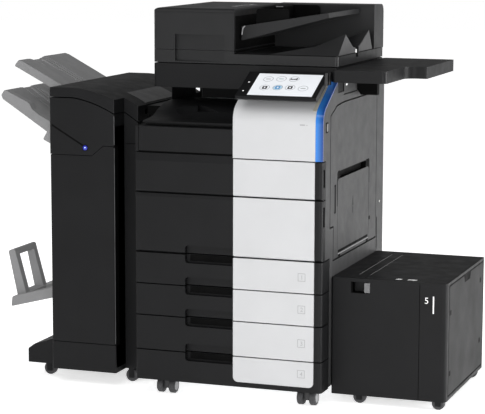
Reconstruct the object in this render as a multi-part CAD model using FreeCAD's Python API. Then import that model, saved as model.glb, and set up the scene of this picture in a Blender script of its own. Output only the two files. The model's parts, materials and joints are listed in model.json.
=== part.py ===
"""Colour office photocopier: copier body, document feeder, side table, paper cabinet, finisher.

Every size is in millimetres. While the pieces are modelled, X runs to the right, Y to the back
and Z up from the floor, with X = 0 at the copier body's left side and Y = 0 at its front. The
whole machine is then moved so that its origin is the bottom centre of its bounding box.
"""
import FreeCAD, Part
import math
import os

os.makedirs("parts", exist_ok=True)
Vector = FreeCAD.Vector

# ---- copier body -------------------------------------------------------------------------
BODY_WIDTH = 615.0
BODY_DEPTH = 688.0
BODY_BOTTOM = 48.0
OUTPUT_LEVEL = 853.0            # front lip of the output tray inside the body
FRONT_DEPTH = 28.0              # thickness of the doors and drawer fronts
SKIN = 6.0                      # side and rear covers
SHEET = 2.0                     # steel of the frame
SEAM = 3.6                      # gap between neighbouring covers
HALF_SEAM = SEAM / 2
FRAME_LEFT = 8.0
FRAME_RIGHT = 607.0
FRAME_FRONT = 36.0
FRAME_BACK = 668.0
FLOOR_PLATE_BOTTOM = 52.0
FLOOR_PLATE_TOP = 56.0
COVER_BACK = 681.0              # rear edge of the side covers

# ---- front: white column between the black covers and the coloured strip --------------------
PANEL_LEFT = 326.0
PANEL_RIGHT = 591.0
PANEL_DEPTH = 6.0
PANEL_GAP = 1.4
PANEL_FOOT = 64.0               # the lowest white panel ends above the bottom of its drawer
PANEL_FOOT_RADIUS = 16.0
TONER_DOOR_TOP = 764.0
BLACK_DOOR_TOP = 772.0
FRONT_DOOR_TOP = 646.0
DRAWER_TOPS = (457.0, 357.0, 256.0, 145.0)
DRAWER_TRAVEL_ROOM = 640.0      # rear end of each paper drawer
DOOR_EDGE_RADIUS = 8.0          # bottom edge of a flap door, centred on its hinge
WING_DEPTH = 76.0               # drawer fronts wrap round the right corner as far as this
SCOOP_LEFT = 168.0
SCOOP_HALF_HEIGHT = 28.0
SCOOP_DEPTH = 18.0
SCOOP_RADIUS = 10.0

# ---- console slope -----------------------------------------------------------------------
BEND_HEIGHT = 913.0
SLOPE = math.radians(30.0)
SLOPE_BACK = 151.0
BEND_RADIUS = 55.0
STRIP_DEPTH = 5.0

# ---- tray inside the body ---------------------------------------------------------------------
RELAY_LEFT = 14.0
DISH_RADIUS = 140.0
DISH_CENTRE = (122.0, 114.0, 1017.0)
DISH_POCKET = ((132, 212), (157, 138), (230, 148))
UPPER_COVER_LEFT = 12.0         # the cover under the tray starts inside the left cover's corner
UPPER_COVER_GAP = 3.0           # its seam over the toner door is wider than the others

# ---- scanner and document feeder -----------------------------------------------------------
SCANNER_RIGHT = 612.0
SCANNER_FRONT = 159.0
SCANNER_BACK = 675.0
SCANNER_BOTTOM = 963.0
SCANNER_TOP = 1038.5
LID_BOTTOM = 1041.5
LID_TOP = 1073.0
FEEDER_SEAM = 1082.0
FEEDER_RIGHT = 272.0
FEEDER_TOP = 1213.0
BACK_WALL_FRONT = 563.0
BACK_WALL_TOP = 1215.0
FEED_TRAY_FRONT = 217.0
FEED_TRAY_BACK = 557.0
FEED_TRAY_LEFT = 276.0
FEED_TRAY_RIGHT = 563.0
FEED_TRAY_TOP_LEFT = 1157.0
FEED_TRAY_TOP_RIGHT = 1203.0

# ---- right side --------------------------------------------------------------------------
DOOR_SEAM = ((112, 443), (599, 443), (599, 934), (217, 932), (142, 926), (76, 899), (76, 549), (112, 549))
DOOR_EDGE = ((117, 448), (595, 448), (595, 929.5), (218, 927.5), (145, 921.5), (81, 896), (81, 554),
             (117, 554))
RIGHT_DOOR_INSIDE = 590.0
BYPASS_RECESS_BACK = 597.0
BYPASS_FRONT = 159.0
BYPASS_BACK = 508.0
BYPASS_BOTTOM = 448.0
BYPASS_TOP = 694.0
HANDLE_GAP_TOP = 718.0
TABLE_TOP = 1038.0
TABLE_THICKNESS = 37.0

# ---- control panel -----------------------------------------------------------------------
PANEL_TILT = math.radians(25.0)
CONTROL_LEFT = 345.0
CONTROL_RIGHT = 602.0
CONTROL_FRONT = (-34.0, 961.0)
CONTROL_LENGTH = 150.0
CONTROL_THICKNESS = 18.0
SCREEN_SIZE = (206.0, 133.0)
SCREEN_LEFT = 380.0
SCREEN_INSET = 8.0
CONTROL_HINGE = (90.0, 950.0)

# ---- large paper cabinet on the right ----------------------------------------------------------
LCT_LEFT = 617.0
LCT_RIGHT = 982.0
LCT_FRONT = 100.0
LCT_BACK = 612.0
LCT_BOTTOM = 28.0
LCT_TOP = 397.0
LCT_WALL = 6.0
LCT_LID_LEFT = 682.5
LCT_PLATE = (126.0, 604.0, 38.0, 389.0)
LCT_LEVER = (720.0, 738.0)
LCT_RECESS = (678.0, 739.0, 351.0, 386.0)
LCT_WHEEL_X = (704.0, 955.0)
LCT_WHEEL_Y = (125.0, 575.0)
LCT_WHEEL_RADIUS = 20.0

# ---- finisher on the left ------------------------------------------------------------------
FIN_LEFT = -316.0
FIN_STEP = -90.0
FIN_RIGHT = -42.0
FIN_FRONT = 50.0
FIN_STEP_FRONT = 131.0
FIN_BACK = 690.0
FIN_BOTTOM = 44.0
FIN_BASE_TOP = 135.0
FIN_DOOR_DEPTH = 30.0
FIN_DOOR_TOP = 746.0
FIN_DOOR_TOP_RIGHT = 779.0
FIN_WALL = 5.0
FIN_WHEEL_X = (-364.0, -71.0)
FIN_WHEEL_Y = (145.0, 600.0)
FIN_WHEEL_RADIUS = 21.0

# ---- casters -------------------------------------------------------------------------------
CASTER_X = (92.0, 559.0)
CASTER_Y = (44.0, 630.0)
CASTER_RADIUS = 24.0
CASTER_TRAIL = 16.0
CASTER_STEM_RADIUS = 6.0
TWIN_WHEEL_WIDTH = 20.0
TWIN_WHEEL_INSIDE = 10.0
AXLE_RADIUS = 4.0
RUNNING_CLEARANCE = 0.05

pieces = {}


# ---- building blocks -----------------------------------------------------------------------
def box(x0, x1, y0, y1, z0, z1):
    return Part.makeBox(x1 - x0, y1 - y0, z1 - z0, Vector(x0, y0, z0))


def cylinder(axis, centre, radius, start, end):
    """A cylinder along axis "x", "y" or "z"; centre holds its two other coordinates."""
    direction = {"x": Vector(1, 0, 0), "y": Vector(0, 1, 0), "z": Vector(0, 0, 1)}[axis]
    base = place({"x": "yz", "y": "xz", "z": "xy"}[axis], centre, start)
    return Part.makeCylinder(radius, end - start, base, direction)


def place(plane, point, level):
    """A point of an outline in the xy, xz or yz plane, at a level along the third axis."""
    a, b = point
    return {"xy": Vector(a, b, level), "xz": Vector(a, level, b), "yz": Vector(level, a, b)}[plane]


def via(a, b):
    """Marks the run between its two neighbouring corners as an arc through this point."""
    return ("via", a, b)


def rounded(corner, before, after, radius):
    """Start, middle and end of the arc that rounds a corner between two straight runs."""
    corner, before, after = (Vector(p[0], p[1], 0) for p in (corner, before, after))
    to_before = (before - corner).normalize()
    to_after = (after - corner).normalize()
    half = to_before.getAngle(to_after) / 2
    setback = radius / math.tan(half)
    bisector = (to_before + to_after).normalize()
    middle = corner + bisector * (radius / math.sin(half) - radius)
    return corner + to_before * setback, middle, corner + to_after * setback


def outline(plane, level, items):
    """A closed wire. A corner is (a, b) or (a, b, radius); via() bends the run after a corner."""
    corners = []
    bends = {}
    for item in items:
        if item[0] == "via":
            bends[len(corners) - 1] = item[1:]
        else:
            corners.append(item)
    count = len(corners)
    arcs = []
    for index, corner in enumerate(corners):
        if len(corner) == 3 and corner[2] > 0:
            arcs.append(rounded(corner, corners[index - 1], corners[(index + 1) % count], corner[2]))
        else:
            arcs.append((Vector(corner[0], corner[1], 0),) * 3)
    edges = []
    for index in range(count):
        first, middle, last = arcs[index]
        following = arcs[(index + 1) % count][0]
        spots = [place(plane, (p.x, p.y), level) for p in (first, middle, last, following)]
        if first.distanceToPoint(last) > 1e-6:
            edges.append(Part.Arc(spots[0], spots[1], spots[2]).toShape())
        if index in bends:
            edges.append(Part.Arc(spots[2], place(plane, bends[index], level), spots[3]).toShape())
        elif last.distanceToPoint(following) > 1e-6:
            edges.append(Part.LineSegment(spots[2], spots[3]).toShape())
    return Part.Wire(edges)


def prism(plane, items, start, end):
    """An outline carried straight along the axis that its plane leaves out."""
    direction = {"xy": Vector(0, 0, 1), "xz": Vector(0, 1, 0), "yz": Vector(1, 0, 0)}[plane]
    return Part.Face(outline(plane, start, items)).extrude(direction * (end - start))


def rectangle(a0, a1, b0, b1, radius=0.0):
    return [(a0, b0, radius), (a1, b0, radius), (a1, b1, radius), (a0, b1, radius)]


def joined(shapes):
    return shapes[0].multiFuse(shapes[1:]).removeSplitter() if len(shapes) > 1 else shapes[0]


def add(name, *shapes, cut=()):
    """Stores a piece: the shapes joined into one, less everything in cut."""
    shape = joined(list(shapes))
    if cut:
        shape = shape.cut(list(cut))
    pieces[name] = shape


def add_group(name, shapes):
    """Stores several identical solids under one name."""
    pieces[name] = Part.makeCompound(shapes)


# ---- copier frame and covers -------------------------------------------------------------------
def frame():
    slope = [(FRAME_FRONT, 900), (108, 945), (FRAME_BACK, 945)]
    column_wall = [(FRAME_FRONT, 838), *slope, (FRAME_BACK, 838)]
    right_wall = [(FRAME_FRONT, FLOOR_PLATE_TOP), *slope, (FRAME_BACK, FLOOR_PLATE_TOP)]
    column = PANEL_LEFT + 4
    left = FRAME_LEFT
    right = FRAME_RIGHT
    shapes = [
        box(left, right, 32, FRAME_BACK, FLOOR_PLATE_BOTTOM, FLOOR_PLATE_TOP),
        box(left, left + SHEET, 32, FRAME_BACK, FLOOR_PLATE_TOP, 838),
        prism("yz", right_wall, right - SHEET, right),
        box(left, right, FRAME_BACK - SHEET, FRAME_BACK, FLOOR_PLATE_TOP, SCANNER_BOTTOM),
        box(left, right, FRAME_FRONT, FRAME_BACK, 460, 460 + SHEET),
        box(left, right, FRAME_FRONT, FRAME_BACK, 836, 838),
        prism("yz", column_wall, column, column + SHEET),
        box(left, column, 474, 476, 838, 899),
        box(46, column, 474, 476, 898, SCANNER_BOTTOM),
        box(column, right, 165, FRAME_BACK, SCANNER_BOTTOM - SHEET, SCANNER_BOTTOM),
        box(left, column, 474, FRAME_BACK, SCANNER_BOTTOM - SHEET, SCANNER_BOTTOM),
        box(column, column + SHEET, 165, FRAME_BACK, 945, SCANNER_BOTTOM),
        box(right - SHEET, right, 165, FRAME_BACK, 945, SCANNER_BOTTOM),
    ]
    for top in DRAWER_TOPS:
        shapes.append(box(left + SHEET, 28, 60, 620, top - 50, top - 44))
        shapes.append(box(587, right - SHEET, 60, 620, top - 50, top - 44))
    door_room = box(RIGHT_DOOR_INSIDE - 2, right + 1, 68, 606, 436, 942)
    stem_bores = [
        cylinder("z", (x, CASTER_Y[0] + CASTER_TRAIL), CASTER_STEM_RADIUS + RUNNING_CLEARANCE, 40, 60)
        for x in CASTER_X
    ]
    add("main_frame", *shapes, cut=[door_room] + stem_bores)


def body_covers():
    left_outline = [(30, 52), (COVER_BACK, 52), (COVER_BACK, SCANNER_BOTTOM), (300, SCANNER_BOTTOM),
                    (330, 944), (400, 915), (455, 900), (478, 900), (478, OUTPUT_LEVEL), (30, OUTPUT_LEVEL)]
    corner_edge = UPPER_COVER_LEFT - 1
    corner_plan = [(0, 4, 4), (corner_edge, 4), (corner_edge, 29), (SKIN, 29), (SKIN, 31), (0, 31)]
    corner = prism("xy", corner_plan, BLACK_DOOR_TOP + HALF_SEAM, OUTPUT_LEVEL)
    corner_seam = box(-1, UPPER_COVER_LEFT, 3, 6, 795, 798)
    cable_hole = prism("yz", rectangle(518, 572, 913, 931, 8), -1, SKIN + 1)
    add("left_cover", prism("yz", left_outline, 0, SKIN), corner, cut=[corner_seam, cable_hole])

    inlet_hole = box(520, 562, 670, 700, 112, 142)
    vents = [box(90 + 60 * column, 130 + 60 * column, 670, 700, 640 + 14 * row, 645 + 14 * row)
             for column in range(3) for row in range(9)]
    screw_holes = [cylinder("y", spot, 2.1, 670, 700) for spot in screw_spots()]
    rear_plan = [(0, 682), (BODY_WIDTH, 682), (BODY_WIDTH, BODY_DEPTH, 5), (0, BODY_DEPTH, 5)]
    rear = prism("xy", rear_plan, 52, 962)
    add("rear_cover", rear, cut=[inlet_hole] + vents + screw_holes)

    profile = console_profile(STRIP_DEPTH)
    side = profile[:3] + [
        (SLOPE_BACK, 962), (COVER_BACK, 962), (COVER_BACK, 52), (WING_DEPTH + 2, 52),
        (WING_DEPTH + 2, 459), (30, 459), (30, TONER_DOOR_TOP + HALF_SEAM),
    ]
    flange_inner = console_profile(STRIP_DEPTH + 6)
    flange = prism("yz", profile[:3] + [(SLOPE_BACK, flange_inner[2][1]), flange_inner[1], flange_inner[0]],
                   PANEL_RIGHT, BODY_WIDTH - SKIN)
    door_hole = prism("yz", DOOR_SEAM, BODY_WIDTH - SKIN - 1, BODY_WIDTH + 1)
    groove = prism("yz", rectangle(605, 613, 400, 512, 3.9), BODY_WIDTH - 4, BODY_WIDTH + 1)
    port_seam = box(BODY_WIDTH - 4, BODY_WIDTH + 1, 214, 361, 951, 955)
    add("right_cover", prism("yz", side, BODY_WIDTH - SKIN, BODY_WIDTH), flange,
        cut=[door_hole, groove, port_seam])


def console_profile(depth):
    """Corners of the front and slope, set back by depth: bottom, bend, top of the slope."""
    setback = depth / math.cos(SLOPE)
    bend = BEND_HEIGHT + depth * math.tan(SLOPE) - setback
    top = BEND_HEIGHT + SLOPE_BACK * math.tan(SLOPE) - setback
    return [(depth, TONER_DOOR_TOP + HALF_SEAM), (depth, bend, BEND_RADIUS - depth), (SLOPE_BACK, top)]


def console_band(depth, thickness):
    outer = console_profile(depth)
    inner = console_profile(depth + thickness)
    return outer + [(SLOPE_BACK, inner[2][1]), inner[1], inner[0]]


def console():
    neck_slot = box(436, 524, 62, 126, 920, 1010)
    band = prism("yz", console_band(0, SKIN), PANEL_LEFT, PANEL_RIGHT - 0.5)
    ribs = [prism("yz", console_band(SKIN, 20), x, x + 3) for x in (PANEL_LEFT, PANEL_RIGHT - 4)]
    add("console_cover", band, *ribs, cut=[neck_slot])
    add("light_strip", prism("yz", console_band(0, STRIP_DEPTH), PANEL_RIGHT, BODY_WIDTH))


def output_tray():
    """The upper front cover with the level deck behind it."""
    low = BLACK_DOOR_TOP + HALF_SEAM + UPPER_COVER_GAP
    left = UPPER_COVER_LEFT
    lip_plan = [(left, 0, 6), (PANEL_LEFT - 0.5, 0), (PANEL_LEFT - 0.5, 30), (left, 30)]
    lip = prism("xy", lip_plan, low, OUTPUT_LEVEL)
    deck = box(SKIN + 1, PANEL_LEFT, 30, 472, 839, OUTPUT_LEVEL)
    hollow = box(12, PANEL_LEFT - 4, 34, 468, 838, OUTPUT_LEVEL - 5)
    lip_hollow = box(left + 4, PANEL_LEFT - 4, 4, 31, low - 1, OUTPUT_LEVEL - 5)
    add("output_tray", lip, deck, cut=[hollow, lip_hollow])


def relay_unit():
    """The unit that carries sheets to the finisher; its humped top is the tray inside the body."""
    top = [(34, 860), (34, 867, 4), (92, 871), via(124, 877), (152, 889), via(214, 906), (285, 912),
           via(380, 909), (472, 902)]
    hump_side = [(60, OUTPUT_LEVEL), (60, 860), *top, (472, OUTPUT_LEVEL)]
    hump = prism("yz", hump_side, RELAY_LEFT, PANEL_LEFT - 2)
    neck = box(-40, RELAY_LEFT + 1, 205, 474, 866, 897)
    paper_path = box(-41, PANEL_LEFT, 215, 450, 872, 884)
    dish = Part.makeSphere(DISH_RADIUS, Vector(*DISH_CENTRE))
    pocket = prism("xy", DISH_POCKET, 887, 930)
    add("relay_unit", hump, neck, cut=[paper_path, dish, pocket])


# ---- front doors and paper drawers --------------------------------------------------------------
def scoops():
    """The finger recess across each drawer's top seam."""
    shapes = []
    for top in DRAWER_TOPS:
        low = top - SCOOP_HALF_HEIGHT
        high = top + SCOOP_HALF_HEIGHT
        rim = [(SCOOP_LEFT, low, SCOOP_RADIUS), (PANEL_LEFT - 1, low), (PANEL_LEFT - 1, high),
               (SCOOP_LEFT, high, SCOOP_RADIUS)]
        shapes.append(prism("xz", rim, -1, SCOOP_DEPTH))
    return shapes


def front_plan():
    return [(0, 0, 8), (BODY_WIDTH, 0, 12), (BODY_WIDTH, FRONT_DEPTH), (0, FRONT_DEPTH)]


def white_panel_space(low, high):
    return box(PANEL_LEFT, PANEL_RIGHT, -1, PANEL_DEPTH, low, high)


def flap_door(name, low, black_top, white_top, grip, crest):
    """A door hinged along its bottom edge, with a white panel let into its face."""
    side = [(0, low, DOOR_EDGE_RADIUS), (FRONT_DEPTH, low), (FRONT_DEPTH, black_top), (0, black_top)]
    blank = prism("yz", side, 0, BODY_WIDTH).common(prism("xy", front_plan(), low, black_top))
    above_panel = box(PANEL_LEFT - 0.5, BODY_WIDTH + 1, -1, FRONT_DEPTH + 1, white_top, black_top + 1)
    blank = blank.cut([above_panel])
    panel_space = white_panel_space(low - 1, white_top + 1)
    hollow = box(6, BODY_WIDTH - 10, 14, FRONT_DEPTH + 1, low + 30, white_top - 6)
    grip_slot = box(BODY_WIDTH - 8, BODY_WIDTH + 1, 9, 24, grip[0], grip[1])
    crest_side = [(-1, black_top - crest), (0, black_top - crest), (crest / 5, black_top + 1),
                  (-1, black_top + 1)]
    sloped = prism("yz", crest_side, -1, PANEL_LEFT - 0.5)
    pieces[name + "_cover"] = blank.cut([panel_space, hollow, grip_slot, sloped] + scoops())
    inset = box(PANEL_LEFT + PANEL_GAP, PANEL_RIGHT - PANEL_GAP, -1, PANEL_DEPTH, low - 1, white_top + 1)
    pieces[name + "_panel"] = blank.common(inset)


def front_doors():
    flap_door("toner_door", FRONT_DOOR_TOP + HALF_SEAM, BLACK_DOOR_TOP - HALF_SEAM,
              TONER_DOOR_TOP - HALF_SEAM, (685, 740), crest=24)
    flap_door("front_door", DRAWER_TOPS[0] + HALF_SEAM, FRONT_DOOR_TOP - HALF_SEAM,
              FRONT_DOOR_TOP - HALF_SEAM, (563, 625), crest=10)


def drawers():
    bottoms = DRAWER_TOPS[1:] + (BODY_BOTTOM - HALF_SEAM,)
    for number, (top, bottom) in enumerate(zip(DRAWER_TOPS, bottoms), start=1):
        low = bottom + HALF_SEAM
        high = top - HALF_SEAM
        face = prism("xy", front_plan(), low, high)
        wing = box(FRAME_RIGHT + 1, BODY_WIDTH, FRONT_DEPTH - 1, WING_DEPTH, low, high)
        tray = box(30, 585, FRONT_DEPTH - 1, DRAWER_TRAVEL_ROOM, low + 12, high - 22)
        well = box(34, 581, FRONT_DEPTH, DRAWER_TRAVEL_ROOM - 4, low + 16, high)
        panel_space = white_panel_space(low - 1, high + 1)
        panel_low = low
        foot_radius = 2.0
        if number == len(DRAWER_TOPS):
            panel_low = PANEL_FOOT
            foot_radius = PANEL_FOOT_RADIUS
            space_low = panel_low - PANEL_GAP
            space_radius = foot_radius + PANEL_GAP
            space_outline = [(PANEL_LEFT, space_low, space_radius), (PANEL_RIGHT, space_low, space_radius),
                             (PANEL_RIGHT, high + 1), (PANEL_LEFT, high + 1)]
            panel_space = prism("xz", space_outline, -1, PANEL_DEPTH)
        add(f"drawer_{number}_tray", face, wing, tray, cut=[well, panel_space] + scoops())
        left = PANEL_LEFT + PANEL_GAP
        right = PANEL_RIGHT - PANEL_GAP
        rim = [(left, panel_low, foot_radius), (right, panel_low, foot_radius), (right, high, 2),
               (left, high, 2)]
        add(f"drawer_{number}_panel", prism("xz", rim, 0, PANEL_DEPTH))


# ---- working parts inside the body ----------------------------------------------------------------
def print_engine():
    add("laser_unit", box(40, 560, 110, 640, 466, 512), cut=[box(44, 556, 114, 636, 470, 513)])
    drums = []
    bottles = []
    for index in range(4):
        x = 108 + 108 * index
        shell = box(x - 38, x + 38, 60, 600, 530, 590).cut(box(x - 34, x + 34, 64, 596, 527, 582))
        drums.append(joined([shell, cylinder("y", (x, 596), 15, 70, 590)]))
        bottle = cylinder("y", (x, 742), 34, 80, 600)
        bottles.append(joined([bottle, cylinder("y", (x, 742), 12, 600, 640)]))
    add_group("drum_units", drums)
    add_group("toner_bottles", bottles)
    loop = [(70, 622, 27), (470, 622, 27), (470, 678, 27), (70, 678, 27)]
    inside = [(73, 625, 24), (467, 625, 24), (467, 675, 24), (73, 675, 24)]
    add("transfer_belt", prism("xz", loop, 90, 580), cut=[prism("xz", inside, 94, 576)])
    case = prism("xz", rectangle(505, 580, 716, 816, 12), 90, 590)
    bore = prism("xz", rectangle(510, 575, 721, 811, 8), 94, 586)
    add("fuser_unit", case, cut=[bore])


def screw_spots():
    return [(x, z) for x in (30, 307, 585) for z in (90, 480, 930)]


def rear_fittings():
    screws = []
    for spot in screw_spots():
        head = cylinder("y", spot, 4.5, BODY_DEPTH, BODY_DEPTH + 2)
        screws.append(joined([head, cylinder("y", spot, 2, 680, BODY_DEPTH)]))
    add_group("cover_screws", screws)
    shell = box(520, 562, 672, BODY_DEPTH - 1, 112, 142)
    mouth = prism("xz", rectangle(524, 558, 115, 139, 5), 674, BODY_DEPTH)
    pins = [box(x, x + 2, 673, BODY_DEPTH - 4, 123, 131) for x in (531, 540, 549)]
    add("power_inlet", shell.cut(mouth), *pins)


# ---- scanner -----------------------------------------------------------------------------------
def scanner():
    plan = [(0, SCANNER_FRONT, 10), (SCANNER_RIGHT, SCANNER_FRONT, 10), (SCANNER_RIGHT, SCANNER_BACK, 10),
            (0, SCANNER_BACK, 10)]
    inside = box(6, SCANNER_RIGHT - 6, SCANNER_FRONT + 6, SCANNER_BACK - 6,
                 SCANNER_BOTTOM + 5, SCANNER_TOP - 6)
    glass_hole = box(70, 560, 195, 545, SCANNER_TOP - 7, SCANNER_TOP + 1)
    add("scanner_housing", prism("xy", plan, SCANNER_BOTTOM, SCANNER_TOP), cut=[inside, glass_hole])
    add("platen_glass", box(70, 560, 195, 545, SCANNER_TOP - 5, SCANNER_TOP - 1))
    slope = [(84, 1000), (134, 1000), (134, 1026, 3), (114, 1026), (109, 1018), (104, 1026), (84, 1026, 3)]
    add("scan_carriage", prism("xz", slope, 185, 555))


# ---- document feeder ------------------------------------------------------------------------------
def feeder_grip():
    """Shallow scoop in the front of the feeder for the hand that opens its cover."""
    plan = [(74, SCANNER_FRONT - 1), (250, SCANNER_FRONT - 1), (240, SCANNER_FRONT),
            (74, SCANNER_FRONT + 11)]
    return prism("xy", plan, 1046, 1131)


def exit_ramps():
    """Two ridges that rise to the right and hold the edges of the sheets that come out."""
    rise = [(375, LID_TOP - 1), (SCANNER_RIGHT, LID_TOP - 1), (SCANNER_RIGHT, 1138), (528, 1100)]
    front_ridge = [(SCANNER_FRONT + 1, LID_TOP - 1), (SCANNER_FRONT + 1, LID_TOP), (241, 1137), (322, 1094),
                   (350, 1090), (350, LID_TOP - 1)]
    back_ridge = [(384, LID_TOP - 1), (384, 1092), (410, 1100), (502, 1138), (545, LID_TOP - 1)]
    wedge = prism("xz", rise, SCANNER_FRONT, BACK_WALL_FRONT)
    return [prism("yz", ridge, 375, SCANNER_RIGHT - 1).common(wedge) for ridge in (front_ridge, back_ridge)]


def document_feeder():
    plan = [(0, SCANNER_FRONT, 10), (SCANNER_RIGHT, SCANNER_FRONT, 10), (SCANNER_RIGHT, SCANNER_BACK, 10),
            (0, SCANNER_BACK, 10)]
    slab = prism("xy", plan, LID_BOTTOM, LID_TOP)
    pier = box(SCANNER_RIGHT - 40, SCANNER_RIGHT, 340, 394, LID_BOTTOM - 2, LID_TOP)
    under = box(6, SCANNER_RIGHT - 6, SCANNER_FRONT + 18, SCANNER_BACK - 6, LID_BOTTOM - 1, LID_TOP - 6)
    under = under.cut(pier)
    stopper_notch = box(SCANNER_RIGHT - 26, SCANNER_RIGHT + 1, 354, 380, LID_TOP - 14, LID_TOP + 1)
    slab = slab.cut([under, stopper_notch])
    rim_plan = [(0, SCANNER_FRONT, 10), (FEEDER_RIGHT, SCANNER_FRONT), (FEEDER_RIGHT, SCANNER_BACK),
                (0, SCANNER_BACK, 10)]
    rim = prism("xy", rim_plan, LID_TOP - 1, FEEDER_SEAM - 0.5)
    wall_side = [(BACK_WALL_FRONT, LID_TOP - 1), (SCANNER_BACK, LID_TOP - 1),
                 (SCANNER_BACK, BACK_WALL_TOP, 26), (BACK_WALL_FRONT, BACK_WALL_TOP, 4)]
    wall = prism("yz", wall_side, FEEDER_RIGHT, SCANNER_RIGHT)
    wall_hollow = box(FEEDER_RIGHT + 5, SCANNER_RIGHT - 5, BACK_WALL_FRONT + 5, SCANNER_BACK - 5,
                      LID_BOTTOM, BACK_WALL_TOP - 22)
    add("adf_base", slab, rim, wall, *exit_ramps(), cut=[wall_hollow, feeder_grip()])

    front = SCANNER_FRONT
    back = SCANNER_BACK
    low = FEEDER_SEAM + 0.5
    cross = [(0, low), (0, FEEDER_TOP, 16), (FEEDER_RIGHT, FEEDER_TOP, 6), (FEEDER_RIGHT, low)]
    side = [(front, low), (front, FEEDER_TOP, 16), (back, FEEDER_TOP, 16), (back, low)]
    outer = prism("xz", cross, front, back).common(prism("yz", side, 0, FEEDER_RIGHT))
    outer = outer.common(prism("xy", rim_plan, low, FEEDER_TOP))
    hollow = box(5, FEEDER_RIGHT - 5, front + 16, back - 5, low - 1, FEEDER_TOP - 18)
    intake = box(FEEDER_RIGHT - 6, FEEDER_RIGHT + 1, FEED_TRAY_FRONT, FEED_TRAY_BACK, 1150, 1186)
    add("feeder_cover", outer, cut=[hollow, intake, feeder_grip()])


def feed_tray_top(x):
    """Height of the feed tray's top surface."""
    share = (x - FEED_TRAY_LEFT) / (FEED_TRAY_RIGHT - FEED_TRAY_LEFT)
    return FEED_TRAY_TOP_LEFT + share * (FEED_TRAY_TOP_RIGHT - FEED_TRAY_TOP_LEFT)


def feed_tray():
    left = FEED_TRAY_LEFT
    right = FEED_TRAY_RIGHT
    side = [(left, 1112), (left, feed_tray_top(left)), (right, feed_tray_top(right)), (right, 1188)]
    hollow_side = [(left + 5, 1100), (left + 5, feed_tray_top(left + 5) - 5),
                   (right - 5, feed_tray_top(right - 5) - 5), (right - 5, 1170)]
    hollow = prism("xz", hollow_side, FEED_TRAY_FRONT + 5, FEED_TRAY_BACK - 5)
    add("feed_tray", prism("xz", side, FEED_TRAY_FRONT, FEED_TRAY_BACK), cut=[hollow])
    start = 322
    end = 430
    low = [(start, feed_tray_top(start) + 0.6), (end, feed_tray_top(end) + 0.6)]
    shape = [low[0], low[1], (end, low[1][1] + 30, 10), (start, low[1][1] + 30, 10)]
    foot = [low[0], low[1], (end, low[1][1] + 4), (start, low[0][1] + 4)]
    add("front_paper_guide", prism("xz", shape, 226, 232), prism("xz", foot, 226, 262))
    add("rear_paper_guide", prism("xz", shape, 544, 550), prism("xz", foot, 514, 550))


# ---- control panel -----------------------------------------------------------------------------------
def tilted(along, lift):
    """A point of the control panel: along its face from the front edge, and lifted off that face."""
    y = CONTROL_FRONT[0] + along * math.cos(PANEL_TILT) - lift * math.sin(PANEL_TILT)
    z = CONTROL_FRONT[1] + along * math.sin(PANEL_TILT) + lift * math.cos(PANEL_TILT)
    return (y, z)


def control_panel():
    depth = -CONTROL_THICKNESS
    side = [tilted(0, 0), tilted(CONTROL_LENGTH, 0), tilted(CONTROL_LENGTH, depth), tilted(8, depth),
            tilted(0, -10)]
    body = prism("yz", side, CONTROL_LEFT, CONTROL_RIGHT)
    neck = box(440, 520, CONTROL_HINGE[0] - 16, CONTROL_HINGE[0] + 16, CONTROL_HINGE[1] - 5, 1004)
    barrel = cylinder("x", CONTROL_HINGE, 16, 440, 520)
    screen_side = [tilted(SCREEN_INSET, 1), tilted(SCREEN_INSET + SCREEN_SIZE[1], 1),
                   tilted(SCREEN_INSET + SCREEN_SIZE[1], -2), tilted(SCREEN_INSET, -2)]
    pocket = prism("yz", screen_side, SCREEN_LEFT, SCREEN_LEFT + SCREEN_SIZE[0])
    add("panel_housing", body, neck, barrel, cut=[pocket])
    glass_side = [tilted(SCREEN_INSET + 0.3, -0.2), tilted(SCREEN_INSET + SCREEN_SIZE[1] - 0.3, -0.2),
                  tilted(SCREEN_INSET + SCREEN_SIZE[1] - 0.3, -2), tilted(SCREEN_INSET + 0.3, -2)]
    add("touch_screen", prism("yz", glass_side, SCREEN_LEFT + 0.3, SCREEN_LEFT + SCREEN_SIZE[0] - 0.3))


# ---- right side of the copier ------------------------------------------------------------------------
def right_side():
    recess = box(BYPASS_RECESS_BACK, BODY_WIDTH + 1, BYPASS_FRONT - 2, BYPASS_BACK + 2,
                 BYPASS_BOTTOM - 2, BYPASS_TOP + 2)
    finger_outline = rectangle(181, 475, BYPASS_TOP, HANDLE_GAP_TOP, 6)
    finger_space = prism("yz", finger_outline, BYPASS_RECESS_BACK, BODY_WIDTH + 1)
    lightening = box(RIGHT_DOOR_INSIDE - 1, BODY_WIDTH - 4, 90, 585, 735, 885)
    guide_groove = box(BODY_WIDTH - 3, BODY_WIDTH + 1, 122, 140, 590, 680)
    add("right_door", prism("yz", DOOR_EDGE, RIGHT_DOOR_INSIDE, BODY_WIDTH),
        cut=[recess, finger_space, lightening, guide_groove])

    face = [(BYPASS_FRONT, BYPASS_BOTTOM), (BYPASS_BACK, BYPASS_BOTTOM), (BYPASS_BACK, BYPASS_TOP, 12),
            (BYPASS_FRONT, BYPASS_TOP, 12)]
    under = box(599, 611, BYPASS_FRONT + 6, BYPASS_BACK - 6, BYPASS_BOTTOM + 22, BYPASS_TOP - 12)
    add("bypass_tray", prism("yz", face, 600, BODY_WIDTH), cut=[under])


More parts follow.
